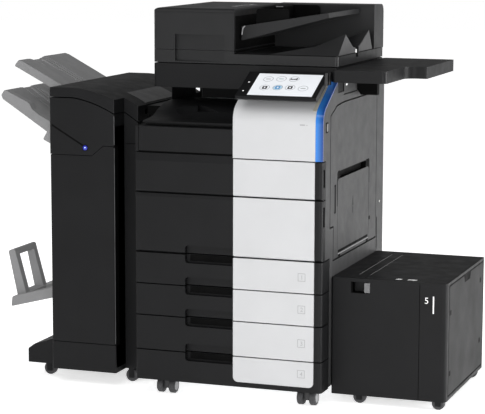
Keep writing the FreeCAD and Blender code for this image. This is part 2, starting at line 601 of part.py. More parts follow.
def side_table():
    low = TABLE_TOP - TABLE_THICKNESS
    plan = [(622, 72, 6), (790, 72, 14), (790, 300, 34), (858, 300, 8), (858, 655, 8), (622, 655, 6)]
    pockets = [box(672, 784, 78, 290, low - 1, TABLE_TOP - 5),
               box(672, 852, 312, 649, low - 1, TABLE_TOP - 5)]
    add("side_table", prism("xy", plan, low, TABLE_TOP), cut=pockets)
    bracket = [(BODY_WIDTH, 957), (627, 940), (681, 940), (681, low), (BODY_WIDTH, low)]
    add("table_bracket", prism("xz", bracket, 361, 386))


# ---- large paper cabinet -------------------------------------------------------------------------------
def fixed_caster(x, y, radius, mount_height, half_width):
    """Two cheeks and an axle that carry one wheel turning about Y."""
    cheeks = [box(x - 9, x + 9, side, side + 3, radius - 8, mount_height)
              for side in (y - half_width - 4.5, y + half_width + 1.5)]
    return cheeks + [cylinder("y", (x, radius), AXLE_RADIUS, y - half_width - 2, y + half_width + 2)]


def disc_wheel(x, y, radius, half_width):
    rim = [(y - half_width, 0), (y - half_width, radius - 3), (y - half_width + 3, radius),
           (y + half_width - 3, radius), (y + half_width, radius - 3), (y + half_width, 0)]
    face = Part.Face(outline("yz", 0, rim))
    wheel = face.revolve(Vector(0, 0, 0), Vector(0, 1, 0), 360)
    wheel.translate(Vector(x, 0, radius))
    return wheel.cut(cylinder("y", (x, radius), AXLE_RADIUS + RUNNING_CLEARANCE, y - 30, y + 30))


def paper_cabinet():
    wall = LCT_WALL
    plan = [(LCT_LEFT, LCT_FRONT, 4), (LCT_RIGHT, LCT_FRONT, 16), (LCT_RIGHT, LCT_BACK, 6),
            (LCT_LEFT, LCT_BACK, 4)]
    shell = prism("xy", plan, LCT_BOTTOM, LCT_TOP)
    well = box(LCT_LEFT + wall, LCT_RIGHT - wall, LCT_FRONT + wall, LCT_BACK - wall,
               LCT_BOTTOM + 5, LCT_TOP - wall)
    lid_hole = box(LCT_LID_LEFT - 1, LCT_RIGHT - wall, LCT_FRONT + wall, LCT_BACK - wall,
                   LCT_TOP - wall - 1, LCT_TOP + 1)
    left, right, low, high = LCT_RECESS
    recess_walls = box(left - 4, right + 4, LCT_FRONT + 1, LCT_FRONT + 34, low - 4, high + 4)
    recess = box(left, right, LCT_FRONT - 1, LCT_FRONT + 30, low, high)
    seam = box(895.5, 896.5, LCT_FRONT - 1, LCT_FRONT + 1.5, LCT_BOTTOM - 1, LCT_TOP + 1)
    shell = shell.cut([well, lid_hole])
    half_width = 10.0
    brackets = []
    wheel_rooms = []
    for x in LCT_WHEEL_X:
        for y in LCT_WHEEL_Y:
            wheel_rooms.append(box(x - 24, x + 24, y - half_width - 1.5, y + half_width + 1.5,
                                   LCT_BOTTOM - 1, LCT_BOTTOM + 6))
            brackets += fixed_caster(x, y, LCT_WHEEL_RADIUS, LCT_BOTTOM + 5, half_width)
    shell = shell.cut(wheel_rooms)
    plate_front, plate_back, plate_low, plate_high = LCT_PLATE
    plate_bed = box(LCT_RIGHT - 1, LCT_RIGHT + 1, plate_front, plate_back, plate_low, plate_high)
    add("lct_cabinet", shell, recess_walls, *brackets, cut=[recess, seam, plate_bed])

    lid_plan = rectangle(LCT_LID_LEFT, LCT_RIGHT - wall - 1, LCT_FRONT + wall + 1, LCT_BACK - wall - 1, 2)
    lid = prism("xy", lid_plan, LCT_TOP - 6, LCT_TOP)
    crease = box(717, 719, 90, 620, LCT_TOP - 1, LCT_TOP + 1)
    add("lct_lid", lid, cut=[crease])
    lever_left, lever_right = LCT_LEVER
    lever = [(lever_left, low + 2, 4), (lever_right, low + 2), (lever_right, high - 2),
             (lever_left, high - 2, 4)]
    add("lct_release_lever", prism("xz", lever, LCT_FRONT + 2, LCT_FRONT + 28))
    for side, x in zip(("left", "right"), LCT_WHEEL_X):
        wheels = [disc_wheel(x, y, LCT_WHEEL_RADIUS, half_width) for y in LCT_WHEEL_Y]
        add_group(f"lct_{side}_wheels", wheels)


# ---- finisher ---------------------------------------------------------------------------------------
def finisher_seam(gap):
    """The curved joint line under the finisher's top cover, from left to beyond its right side."""
    return [(-230, 928 + gap), via(-138, 903 + gap), (FIN_RIGHT + 12, 838.5 + gap)]


def finisher_plan(left=FIN_LEFT, right=FIN_RIGHT):
    return [(left, FIN_FRONT, 7), (FIN_STEP, FIN_FRONT, 3), (FIN_STEP, FIN_STEP_FRONT),
            (right, FIN_STEP_FRONT, 3), (right, FIN_BACK, 8), (left, FIN_BACK, 8)]


def finisher_cabinet():
    wall = FIN_WALL
    tower_plan = finisher_plan()
    tower = prism("xy", tower_plan, FIN_BOTTOM, 960)
    below_seam = [(FIN_LEFT - 1, FIN_BOTTOM - 1), (FIN_LEFT - 1, 928 - SEAM / 2), *finisher_seam(-SEAM / 2),
                  (FIN_RIGHT + 12, FIN_BOTTOM - 1)]
    tower = tower.common(prism("xz", below_seam, 0, 700))
    foot_side = [(-416, 50), (-416, 96, 6), (-394, 112, 14), (FIN_LEFT + 1, 138), (FIN_LEFT + 1, 50)]
    foot = prism("xz", foot_side, 82, 640)
    door_back = FIN_FRONT + FIN_DOOR_DEPTH
    hollow_plan = [(FIN_LEFT + wall, door_back + 6), (FIN_STEP - wall, door_back + 6),
                   (FIN_STEP - wall, FIN_STEP_FRONT + wall), (FIN_RIGHT - wall, FIN_STEP_FRONT + wall),
                   (FIN_RIGHT - wall, FIN_BACK - wall), (FIN_LEFT + wall, FIN_BACK - wall)]
    hollow_side = [(FIN_LEFT, FIN_BASE_TOP), (FIN_LEFT, 915), (-230, 915), (-138, 890), (FIN_RIGHT, 836),
                   (FIN_RIGHT, FIN_BASE_TOP)]
    hollow = prism("xy", hollow_plan, FIN_BASE_TOP, 930).common(prism("xz", hollow_side, 60, 700))
    base_hollow = box(FIN_LEFT + 8, FIN_STEP - 8, FIN_FRONT + 8, 600, FIN_BOTTOM - 1, FIN_BASE_TOP - 6)
    door_space = prism("xz", finisher_door_face(0), FIN_FRONT - 1, door_back + 1)
    doorway = box(FIN_LEFT + 14, FIN_STEP - 14, door_back, door_back + 8, 160, 720)
    exits = [box(FIN_LEFT - 1, FIN_LEFT + wall + 1, 190, 560, z, z + 14) for z in (864, 884)]
    exits.append(box(FIN_LEFT - 1, FIN_LEFT + wall + 1, 215, 535, 300, 312))
    slot_line = [(-306, 838), (-306, 841), (-196, 777.5), (-196, 774.5)]
    groove = prism("xz", slot_line, FIN_FRONT - 1, FIN_FRONT + 3)
    base_line = prism("xy", finisher_plan(), FIN_BASE_TOP - 1, FIN_BASE_TOP)
    base_line = base_line.cut(box(FIN_LEFT + 2, FIN_STEP - 2, FIN_FRONT + 2, 700, 100, 160))
    base_line = base_line.common(box(FIN_LEFT - 1, FIN_STEP + 1, 0, 120, 100, 160))
    brackets = []
    half_width = 10.0
    for x in FIN_WHEEL_X:
        for y in FIN_WHEEL_Y:
            brackets += fixed_caster(x, y, FIN_WHEEL_RADIUS, FIN_BOTTOM + 14, half_width)
    add("finisher_cabinet", tower.cut([hollow, base_hollow]), foot, *brackets,
        cut=[door_space, doorway, groove, base_line] + exits)
    for side, x in zip(("left", "right"), FIN_WHEEL_X):
        wheels = [disc_wheel(x, y, FIN_WHEEL_RADIUS, half_width) for y in FIN_WHEEL_Y]
        add_group(f"finisher_{side}_wheels", wheels)


def finisher_door_face(gap):
    """Front outline of the finisher's door, with a raised right-hand corner, drawn in by gap."""
    left = FIN_LEFT - 2 + 3 * gap
    right = FIN_STEP + 2 - 3 * gap
    return [(left, FIN_BASE_TOP + gap), (right, FIN_BASE_TOP + gap), (right, FIN_DOOR_TOP_RIGHT - gap),
            (-129, FIN_DOOR_TOP_RIGHT - gap), (-168, FIN_DOOR_TOP - gap), (left, FIN_DOOR_TOP - gap)]


def finisher_covers():
    door_back = FIN_FRONT + FIN_DOOR_DEPTH
    face = prism("xz", finisher_door_face(1.8), FIN_FRONT, door_back)
    door_plan = [(FIN_LEFT + 0.5, FIN_FRONT, 7), (FIN_STEP - 0.5, FIN_FRONT, 3),
                 (FIN_STEP - 0.5, door_back - 1), (FIN_LEFT + 0.5, door_back - 1)]
    hollow = box(FIN_LEFT + 14, FIN_STEP - 12, FIN_FRONT + 8, door_back, 150, 730)
    add("finisher_door", face.common(prism("xy", door_plan, 100, 800)), cut=[hollow])

    crown = [(FIN_LEFT, 928 + SEAM / 2), (FIN_LEFT, 960, 7), (-236, 960), via(-140, 944),
             (FIN_RIGHT + 12, 893)]
    lid = prism("xz", crown + finisher_seam(SEAM / 2)[::-1], FIN_FRONT, FIN_BACK)
    lid = lid.common(prism("xy", finisher_plan(), 800, 1000))
    under = [(FIN_LEFT + 5, 920), (FIN_LEFT + 5, 954), (-237, 954), via(-142, 938), (FIN_RIGHT - 5, 893),
             (FIN_RIGHT - 5, 830)]
    inner_plan = [(FIN_LEFT + 5, FIN_FRONT + 5), (FIN_STEP - 5, FIN_FRONT + 5),
                  (FIN_STEP - 5, FIN_STEP_FRONT + 5), (FIN_RIGHT - 5, FIN_STEP_FRONT + 5),
                  (FIN_RIGHT - 5, FIN_BACK - 5), (FIN_LEFT + 5, FIN_BACK - 5)]
    hollow = prism("xz", under, FIN_FRONT, FIN_BACK).common(prism("xy", inner_plan, 800, 1000))
    inlet = box(FIN_RIGHT - 6, FIN_RIGHT + 1, 190, 450, 870, 886)
    add("finisher_top_cover", lid, cut=[hollow, inlet])


def trough(top, tray_front, height_above):
    """Cuts that sink the middle of a tray in steps, following the line of its top."""
    cuts = []
    for depth, front, back in ((3, tray_front, 263), (4, 262, 380), (8, 278, 371), (12, 298, 358)):
        floor = [(x, z - depth) for x, z in top]
        above = [(top[-1][0], height_above), (top[0][0], height_above)]
        cuts.append(prism("xz", floor + above, front, back))
    return cuts


def finisher_trays():
    wall = FIN_LEFT - 1
    upper = [(wall, 916), (wall, 947), (-472, 1029, 8), (-488, 1034, 5), (-506, 1012, 5), (-494, 1007, 5)]
    upper_top = [(wall + 30, 932), (-472, 1029), (-520, 1044)]
    add("upper_tray", prism("xz", upper, 190, 545), cut=trough(upper_top, 189, 1070))

    side = [(wall, 766), (wall, 812), (-369, 840), (-404, 857), (-428, 875), (-437, 891), (-445, 898),
            (-527, 936, 5), (-539, 918, 6), (-533, 905, 6)]
    stacker_top = [(wall + 1, 812), (-369, 840), (-404, 857), (-437, 879), (-520, 936), (-560, 960)]
    add("stacker_tray", prism("xz", side, 158, 560), cut=trough(stacker_top, 190, 990))

    plate = [(wall, 262), (wall, 298), (-526, 241, 4), (-530, 207, 4)]
    frame_side = [(-484, 248), (-516, 238), (-549, 392, 8), (-526, 400, 8)]
    window = box(-600, -470, 240, 346, 252, 378)
    upright = prism("xz", frame_side, 212, 372).cut(window)
    channel = prism("xz", [(wall + 1, 286), (-478, 242), (-478, 300), (wall + 1, 340)], 232, 352)
    add("booklet_tray", prism("xz", plate, 190, 520).cut(channel), upright)


# ---- casters under the copier body ---------------------------------------------------------------------
def twin_wheel(x, y):
    """Two discs on one axle along X."""
    discs = []
    for start in (x - TWIN_WHEEL_INSIDE - TWIN_WHEEL_WIDTH, x + TWIN_WHEEL_INSIDE):
        rim = [(start, 0), (start, CASTER_RADIUS - 3), (start + 3, CASTER_RADIUS),
               (start + TWIN_WHEEL_WIDTH - 3, CASTER_RADIUS), (start + TWIN_WHEEL_WIDTH, CASTER_RADIUS - 3),
               (start + TWIN_WHEEL_WIDTH, 0)]
        disc = Part.Face(outline("xz", 0, rim)).revolve(Vector(0, 0, 0), Vector(1, 0, 0), 360)
        disc.translate(Vector(0, y, CASTER_RADIUS))
        bore = cylinder("x", (y, CASTER_RADIUS), AXLE_RADIUS + RUNNING_CLEARANCE,
                        start - 1, start + TWIN_WHEEL_WIDTH + 1)
        discs.append(disc.cut(bore))
    return discs


def caster_core(x, y, top):
    """The block between the two discs, with its axle; top is the height that it reaches."""
    block = box(x - 9, x + 9, y - 10, y + CASTER_TRAIL + 8, CASTER_RADIUS - 8, top)
    axle = cylinder("x", (y, CASTER_RADIUS), AXLE_RADIUS, x - TWIN_WHEEL_INSIDE - TWIN_WHEEL_WIDTH,
                    x + TWIN_WHEEL_INSIDE + TWIN_WHEEL_WIDTH)
    return [block, axle]


def casters():
    front, back = CASTER_Y
    for side, x in zip(("left", "right"), CASTER_X):
        disc = cylinder("z", (x, front + CASTER_TRAIL), 9, 44, FLOOR_PLATE_BOTTOM - 0.5)
        stem = cylinder("z", (x, front + CASTER_TRAIL), CASTER_STEM_RADIUS, 44, FLOOR_PLATE_TOP)
        add(f"{side}_caster_fork", *caster_core(x, front, FLOOR_PLATE_BOTTOM - 0.5), disc, stem)
        add_group(f"{side}_caster_wheels", twin_wheel(x, front))
    add_group("rear_caster_brackets", [joined(caster_core(x, back, FLOOR_PLATE_BOTTOM)) for x in CASTER_X])
    add_group("rear_caster_wheels", [disc for x in CASTER_X for disc in twin_wheel(x, back)])


def build():
    frame()
    body_covers()
    console()
    output_tray()
    relay_unit()
    front_doors()
    drawers()
    print_engine()
    rear_fittings()
    scanner()
    document_feeder()
    feed_tray()
    control_panel()
    right_side()
    side_table()
    paper_cabinet()
    finisher_cabinet()
    finisher_covers()
    finisher_trays()
    casters()


build()
whole = Part.makeCompound(list(pieces.values())).BoundBox
ORIGIN = Vector((whole.XMin + whole.XMax) / 2, (whole.YMin + whole.YMax) / 2, whole.ZMin)
for name, shape in pieces.items():
    shape.translate(ORIGIN * -1)
    shape.exportStep(f"parts/{name}.step")
extent = f"{whole.XLength:.1f} x {whole.YLength:.1f} x {whole.ZLength:.1f}"
print(f"{len(pieces)} pieces, origin at {ORIGIN}, size {extent}")
for name, shape in pieces.items():
    solids = len(shape.Solids)
    if not shape.isValid() or solids != 1:
        print(f"{name}: valid {shape.isValid()}, {solids} solids")
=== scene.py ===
"""Looks of the office photocopier: finishes, fine detail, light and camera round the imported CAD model.

Places are written in the copier's own millimetres: X to the right from the body's left side, Y to
the back from its front and Z up from the floor. at() turns them into the frame's metres.
"""
import json
import math

import bmesh
import bpy
from mathutils import Matrix, Vector


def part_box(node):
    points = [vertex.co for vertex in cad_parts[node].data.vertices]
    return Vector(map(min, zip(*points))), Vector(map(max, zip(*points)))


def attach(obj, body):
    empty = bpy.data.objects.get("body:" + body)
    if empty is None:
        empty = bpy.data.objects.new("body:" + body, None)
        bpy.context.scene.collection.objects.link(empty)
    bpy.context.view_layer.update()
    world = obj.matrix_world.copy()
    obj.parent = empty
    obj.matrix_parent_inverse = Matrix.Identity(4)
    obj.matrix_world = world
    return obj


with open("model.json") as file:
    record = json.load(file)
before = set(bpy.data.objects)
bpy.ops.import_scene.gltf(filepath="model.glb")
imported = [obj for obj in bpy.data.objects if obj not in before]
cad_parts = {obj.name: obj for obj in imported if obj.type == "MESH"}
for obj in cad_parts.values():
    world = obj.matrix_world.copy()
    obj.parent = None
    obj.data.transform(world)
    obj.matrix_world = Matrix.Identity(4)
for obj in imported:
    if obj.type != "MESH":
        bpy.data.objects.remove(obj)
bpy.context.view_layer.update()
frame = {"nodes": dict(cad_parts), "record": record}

MM = 0.001
BODY_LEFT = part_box("front_door_cover")[0].x
BODY_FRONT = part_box("front_door_cover")[0].y

# ---- places on the copier, in millimetres ------------------------------------------------------
BODY_WIDTH = 615.0
BODY_DEPTH = 688.0
PANEL_LEFT = 326.0
PANEL_RIGHT = 591.0
DRAWER_TOPS = (457.0, 357.0, 256.0, 145.0, 47.0)
PANEL_FEET = (357.0, 256.0, 145.0, 64.0)     # lower edges of the drawers' white panels
SCREEN_LEFT = 380.0
SCREEN_RIGHT = 586.0
PANEL_FRONT = (-34.0, 961.0)
PANEL_TILT = math.radians(25.0)
SCREEN_INSET = 8.0
SCREEN_DEPTH = 133.0
CASTER_X = (92.0, 559.0)
CASTER_Y = (44.0, 630.0)
CASTER_RADIUS = 24.0


def at(x, y, z):
    return Vector((BODY_LEFT + x * MM, BODY_FRONT + y * MM, z * MM))


# ---- finishes ----------------------------------------------------------------------------------
looks = {}


def node_material(name):
    material = bpy.data.materials.new(name)
    material.use_nodes = True
    tree = material.node_tree
    shader = tree.nodes["Principled BSDF"]
    return material, tree, shader


def link(tree, source, target):
    tree.links.new(source, target)


def noise(tree, scale, detail=2.0, stretch=(1.0, 1.0, 1.0)):
    """A noise pattern fixed to the object, scale in features per metre."""
    place = tree.nodes.new("ShaderNodeTexCoord")
    mapping = tree.nodes.new("ShaderNodeMapping")
    mapping.inputs["Scale"].default_value = stretch
    texture = tree.nodes.new("ShaderNodeTexNoise")
    texture.inputs["Scale"].default_value = scale
    texture.inputs["Detail"].default_value = detail
    link(tree, place.outputs["Object"], mapping.inputs["Vector"])
    link(tree, mapping.outputs["Vector"], texture.inputs["Vector"])
    return texture.outputs["Fac"]


def ramp(tree, source, low, high, start=0.3, end=0.7):
    node = tree.nodes.new("ShaderNodeMapRange")
    node.inputs["From Min"].default_value = start
    node.inputs["From Max"].default_value = end
    node.inputs["To Min"].default_value = low
    node.inputs["To Max"].default_value = high
    link(tree, source, node.inputs["Value"])
    return node.outputs["Result"]


def tint(tree, source, dark, light):
    node = tree.nodes.new("ShaderNodeMix")
    node.data_type = "RGBA"
    node.inputs["A"].default_value = (*dark, 1.0)
    node.inputs["B"].default_value = (*light, 1.0)
    link(tree, source, node.inputs["Factor"])
    return node.outputs["Result"]


def bumped(tree, source, height, strength=1.0):
    """Surface relief, height in metres from the pattern's lowest to its highest."""
    node = tree.nodes.new("ShaderNodeBump")
    node.inputs["Strength"].default_value = strength
    node.inputs["Distance"].default_value = height
    link(tree, source, node.inputs["Height"])
    return node.outputs["Normal"]


def surface(name, colour, spread=0.12, roughness=(0.4, 0.5), grain=700.0, relief=0.00005, metal=0.0,
            coat=0.0, stretch=(1.0, 1.0, 1.0), patch=9.0, gloss=0.5):
    """A finish whose colour and roughness vary in soft patches, over a fine moulded or rolled grain."""
    material, tree, shader = node_material(name)
    patches = noise(tree, patch, 3.0, stretch)
    dark = [c * (1 - spread) for c in colour]
    light = [min(1.0, c * (1 + spread)) for c in colour]
    link(tree, tint(tree, ramp(tree, patches, 0.0, 1.0), dark, light), shader.inputs["Base Color"])
    smudges = noise(tree, patch * 2.7, 4.0, stretch)
    link(tree, ramp(tree, smudges, *roughness), shader.inputs["Roughness"])
    link(tree, bumped(tree, noise(tree, grain, 2.0, stretch), relief), shader.inputs["Normal"])
    shader.inputs["Metallic"].default_value = metal
    shader.inputs["Specular IOR Level"].default_value = gloss
    shader.inputs["Coat Weight"].default_value = coat
    shader.inputs["Coat Roughness"].default_value = 0.12
    looks[name] = material
    return tree, shader


def glowing(name, colour, glow, strength, roughness=(0.1, 0.2)):
    shader = surface(name, colour, 0.05, roughness, grain=300.0, relief=0.00001)[1]
    shader.inputs["Emission Color"].default_value = (*glow, 1.0)
    shader.inputs["Emission Strength"].default_value = strength


def clear(name, colour, roughness=(0.02, 0.06), transmission=0.9):
    shader = surface(name, colour, 0.03, roughness, grain=200.0, relief=0.000004)[1]
    shader.inputs["Transmission Weight"].default_value = transmission
    shader.inputs["IOR"].default_value = 1.5


def light_strip_look():
    """Tinted clear plastic over a blue light: brighter along the inner edge, darker at the corner."""
    tree, shader = surface("strip_blue", (0.02, 0.12, 0.46), 0.04, (0.10, 0.18), grain=300.0, relief=0.00001)
    place = tree.nodes.new("ShaderNodeTexCoord")
    split = tree.nodes.new("ShaderNodeSeparateXYZ")
    link(tree, place.outputs["Generated"], split.inputs["Vector"])
    across = tint(tree, split.outputs["X"], (0.035, 0.21, 0.62), (0.008, 0.035, 0.17))
    link(tree, across, shader.inputs["Base Color"])
    shader.inputs["Emission Color"].default_value = (0.02, 0.20, 0.90, 1.0)
    shader.inputs["Emission Strength"].default_value = 0.02


def make_looks():
    surface("cover_black", (0.0064, 0.0065, 0.0070), 0.10, (0.42, 0.52), grain=850.0, relief=0.00006,
            gloss=0.15)
    surface("feeder_black", (0.0115, 0.0117, 0.0123), 0.10, (0.38, 0.48), grain=850.0, relief=0.00006, gloss=0.25)
    surface("ramp_grey", (0.034, 0.034, 0.035), 0.08, (0.35, 0.45), grain=850.0, relief=0.00005, gloss=0.4)
    surface("side_grey", (0.034, 0.034, 0.0348), 0.07, (0.46, 0.56), grain=850.0, relief=0.00006, gloss=0.25)
    surface("panel_white", (0.475, 0.478, 0.486), 0.02, (0.36, 0.44), grain=900.0, relief=0.00003)
    # tray_grey glows faintly: the emission is painted light that lifts the trays' shaded faces
    shader = surface("tray_grey", (0.165, 0.165, 0.168), 0.10, (0.45, 0.58), grain=500.0, relief=0.00012)[1]
    shader.inputs["Emission Color"].default_value = (1.0, 1.0, 1.0, 1.0)
    shader.inputs["Emission Strength"].default_value = 0.045
    surface("frame_steel", (0.52, 0.53, 0.54), 0.10, (0.28, 0.42), grain=60.0, relief=0.00002, metal=1.0,
            stretch=(1.0, 1.0, 12.0), patch=14.0)
    surface("rear_steel", (0.075, 0.075, 0.078), 0.08, (0.5, 0.62), grain=420.0, relief=0.00012)
    surface("side_steel", (0.009, 0.009, 0.0093), 0.06, (0.50, 0.60), grain=420.0, relief=0.00006,
            patch=3.0, gloss=0.15)
    surface("panel_gloss", (0.004, 0.004, 0.0045), 0.15, (0.28, 0.36), grain=300.0, relief=0.00001, gloss=0.12)
    surface("engine_grey", (0.16, 0.165, 0.17), 0.10, (0.45, 0.6), grain=500.0, relief=0.00010)
    surface("belt_black", (0.014, 0.014, 0.014), 0.15, (0.25, 0.35), grain=90.0, relief=0.00001,
            stretch=(1.0, 20.0, 1.0))
    surface("bottle_white", (0.58, 0.57, 0.54), 0.05, (0.4, 0.5), grain=200.0, relief=0.00006)
    surface("caster_black", (0.016, 0.016, 0.017), 0.15, (0.38, 0.5), grain=600.0, relief=0.00008)
    surface("wheel_grey", (0.030, 0.030, 0.032), 0.2, (0.5, 0.7), grain=450.0, relief=0.00015)
    surface("lever_grey", (0.30, 0.30, 0.305), 0.06, (0.35, 0.45), grain=600.0, relief=0.00004)
    surface("screw_zinc", (0.60, 0.60, 0.58), 0.12, (0.25, 0.4), grain=900.0, relief=0.00002, metal=1.0)
    surface("print_grey", (0.30, 0.30, 0.31), 0.05, (0.5, 0.6), grain=600.0, relief=0.00002)
    surface("print_white", (0.82, 0.82, 0.82), 0.03, (0.45, 0.55), grain=600.0, relief=0.00002)
    surface("deep_black", (0.0016, 0.0016, 0.0016), 0.2, (0.6, 0.75), grain=400.0, relief=0.00008, gloss=0.06)
    surface("latch_grey", (0.13, 0.13, 0.133), 0.06, (0.35, 0.45), grain=600.0, relief=0.00004)
    surface("roller_grey", (0.09, 0.09, 0.095), 0.15, (0.6, 0.8), grain=700.0, relief=0.00012)
    surface("foam_white", (0.80, 0.80, 0.78), 0.03, (0.7, 0.85), grain=800.0, relief=0.00020)
    surface("amber", (0.42, 0.33, 0.14), 0.10, (0.2, 0.3), grain=300.0, relief=0.00003)
    surface("tile_teal", (0.30, 0.45, 0.44), 0.05, (0.2, 0.3), grain=300.0, relief=0.00001)
    surface("tile_pale_blue", (0.55, 0.78, 0.95), 0.03, (0.2, 0.3), grain=300.0, relief=0.00001)
    surface("tile_grey", (0.36, 0.38, 0.41), 0.04, (0.2, 0.3), grain=300.0, relief=0.00001)
    surface("tile_black", (0.02, 0.02, 0.025), 0.1, (0.2, 0.3), grain=300.0, relief=0.00001)
    surface("tile_blue", (0.10, 0.36, 0.72), 0.06, (0.2, 0.3), grain=300.0, relief=0.00001)
    clear("clear_glass", (0.86, 0.90, 0.90))
    glowing("screen_glass", (0.74, 0.76, 0.79), (0.93, 0.96, 1.0), 0.28, (0.05, 0.09))
    light_strip_look()
    # pale cream painted as the highlight on the white slope's lit side edge
    surface("cream_edge_highlight", (0.50, 0.48, 0.40), 0.05, (0.2, 0.3), grain=300.0, relief=0.00001)
    glowing("lamp_blue", (0.45, 0.55, 0.95), (0.45, 0.6, 1.0), 0.7)
    surface("lamp_navy", (0.012, 0.020, 0.30), 0.05, (0.15, 0.25), grain=300.0, relief=0.00001)
    glowing("lamp_white", (0.9, 0.9, 0.9), (1.0, 1.0, 1.0), 0.9)


# ---- finishing the CAD pieces --------------------------------------------------------------------
EDGE = {  # millimetres of rounding on a node's sharp edges, where the usual 1.2 does not suit
    "main_frame": 0.5, "platen_glass": 0.4, "touch_screen": 0.3, "cover_screws": 0.5, "power_inlet": 0.5,
    "light_strip": 1.6, "console_cover": 1.6, "scanner_housing": 2.5, "adf_base": 2.2, "feeder_cover": 5.0,
    "upper_tray": 3.0, "stacker_tray": 3.0, "booklet_tray": 2.5, "panel_housing": 2.5, "side_table": 2.2,
    "finisher_cabinet": 2.5, "finisher_door": 2.5, "lct_cabinet": 2.0, "lct_lid": 0.8, "toner_door_cover": 1.8,
    "front_door_cover": 1.8, "right_door": 1.6, "bypass_tray": 1.8,
    "transfer_belt": 0.4, "finisher_top_cover": 4.0, "scan_carriage": 0.8,
}
USUAL_EDGE = 1.2


def soften(obj, width, segments=2):
    bevel = obj.modifiers.new("soft_edges", "BEVEL")
    bevel.width = width * MM
    bevel.segments = segments
    bevel.limit_method = "ANGLE"
    bevel.angle_limit = math.radians(32)
    bevel.harden_normals = False
    bevel.use_clamp_overlap = True


LOOK_OF_NODE = {
    "lct_release_lever": "latch_grey",
    "adf_base": "feeder_black", "feeder_cover": "feeder_black", "feed_tray": "feeder_black",
    # table_bracket is deep black as painted shade for the side table's shadowed underside
    "table_bracket": "deep_black", "front_paper_guide": "deep_black", "rear_paper_guide": "deep_black",
}


def finish_nodes():
    slots = {part["node"]: part["material_slot"] for part in frame["record"]["subparts"]}
    for name, obj in frame["nodes"].items():
        obj.data.materials.clear()
        obj.data.materials.append(looks[LOOK_OF_NODE.get(name, slots[name])])
        soften(obj, EDGE.get(name, USUAL_EDGE))


# ---- building blocks -----------------------------------------------------------------------------
def hang(mesh, name, body, look):
    """Makes an object of a mesh, gives it its finish and lets it ride on a body."""
    obj = bpy.data.objects.new(name, mesh)
    bpy.context.scene.collection.objects.link(obj)
    obj.data.materials.append(looks[look])
    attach(obj, body)
    return obj


def to_mesh(bm, name):
    bmesh.ops.recalc_face_normals(bm, faces=bm.faces)
    mesh = bpy.data.meshes.new(name)
    bm.to_mesh(mesh)
    bm.free()
    return mesh


def block(name, low, high, body, look, radius=1.0):
    """A box between two corners, with rounded edges."""
    low, high = at(*low), at(*high)
    bm = bmesh.new()
    bmesh.ops.create_cube(bm, size=1.0)
    middle = (low + high) / 2
    size = high - low
    for vertex in bm.verts:
        vertex.co = Vector((vertex.co[i] * size[i] + middle[i] for i in range(3)))
    width = min(radius * MM, min(size) * 0.45)
    bmesh.ops.bevel(bm, geom=bm.edges[:], offset=width, segments=3, profile=0.5, affect="EDGES")
    return hang(to_mesh(bm, name), name, body, look)


def bar(name, plane, outline, start, end, body, look, radius=1.0):
    """An outline in the xy, xz or yz plane, carried along the third axis, with rounded edges."""
    def spot(point, level):
        a, b = point
        return at(*{"xy": (a, b, level), "xz": (a, level, b), "yz": (level, a, b)}[plane])

    bm = bmesh.new()
    first = [bm.verts.new(spot(point, start)) for point in outline]
    last = [bm.verts.new(spot(point, end)) for point in outline]
    bm.faces.new(first)
    bm.faces.new(last[::-1])
    for index in range(len(outline)):
        following = (index + 1) % len(outline)
        bm.faces.new((first[index], last[index], last[following], first[following]))
    bmesh.ops.recalc_face_normals(bm, faces=bm.faces)
    if radius:
        sharp = [edge for edge in bm.edges if edge.calc_face_angle(0.0) > math.radians(25)]
        bmesh.ops.bevel(bm, geom=sharp, offset=radius * MM, segments=2, profile=0.5, affect="EDGES",
                        clamp_overlap=True)
    return hang(to_mesh(bm, name), name, body, look)


def arc(centre, radius, start, end, steps=12):
    """Points on an arc, angles in degrees."""
    points = []
    for index in range(steps + 1):
        angle = math.radians(start + (end - start) * index / steps)
        points.append((centre[0] + radius * math.cos(angle), centre[1] + radius * math.sin(angle)))
    return points


def turned(name, centre, axis, profile, body, look, steps=32):
    """A profile of (distance along the axis, radius) turned round an axis through centre."""
    along = Vector(axis).normalized()
    side = along.orthogonal().normalized()
    other = along.cross(side)
    middle = at(*centre)
    bm = bmesh.new()
    rings = []
    for distance, radius in profile:
        ring = []
        if radius <= 0:
            ring = [bm.verts.new(middle + along * distance * MM)]
        else:
            for index in range(steps):
                turn = 2 * math.pi * index / steps
                reach = side * math.cos(turn) + other * math.sin(turn)
                ring.append(bm.verts.new(middle + along * distance * MM + reach * radius * MM))
        rings.append(ring)
    for near, far in zip(rings, rings[1:]):
        for index in range(steps):
            following = (index + 1) % steps
            corners = []
            for ring, order in ((near, (index, following)), (far, (following, index))):
                picked = [ring[0]] if len(ring) == 1 else [ring[i] for i in order]
                corners += picked
            if len(corners) > 2:
                bm.faces.new(corners)
    mesh = to_mesh(bm, name)
    mesh.shade_smooth()
    mesh.set_sharp_from_angle(angle=math.radians(35))
    return hang(mesh, name, body, look)


def cable(name, points, radius, body, look):
    """A round rod bent smoothly through a few points."""
    curve = bpy.data.curves.new(name, "CURVE")
    curve.dimensions = "3D"
    curve.bevel_depth = radius * MM
    curve.bevel_resolution = 4
    curve.use_fill_caps = True
    spline = curve.splines.new("POLY")
    spline.points.add(len(points) - 1)
    for place, point in zip(spline.points, points):
        place.co = (*at(*point), 1.0)
    return hang(curve, name, body, look)


def flat_shape(name, outline, to_world, depth, body, look):
    """A thin plate with an outline drawn on a face; to_world places (across, up, out) of that face."""
    bm = bmesh.new()
    back = [bm.verts.new(to_world(a, b, 0.0)) for a, b in outline]
    front = [bm.verts.new(to_world(a, b, depth)) for a, b in outline]
    bm.faces.new(back[::-1])
    bm.faces.new(front)
    for index in range(len(outline)):
        following = (index + 1) % len(outline)
        bm.faces.new((back[index], back[following], front[following], front[index]))
    return hang(to_mesh(bm, name), name, body, look)


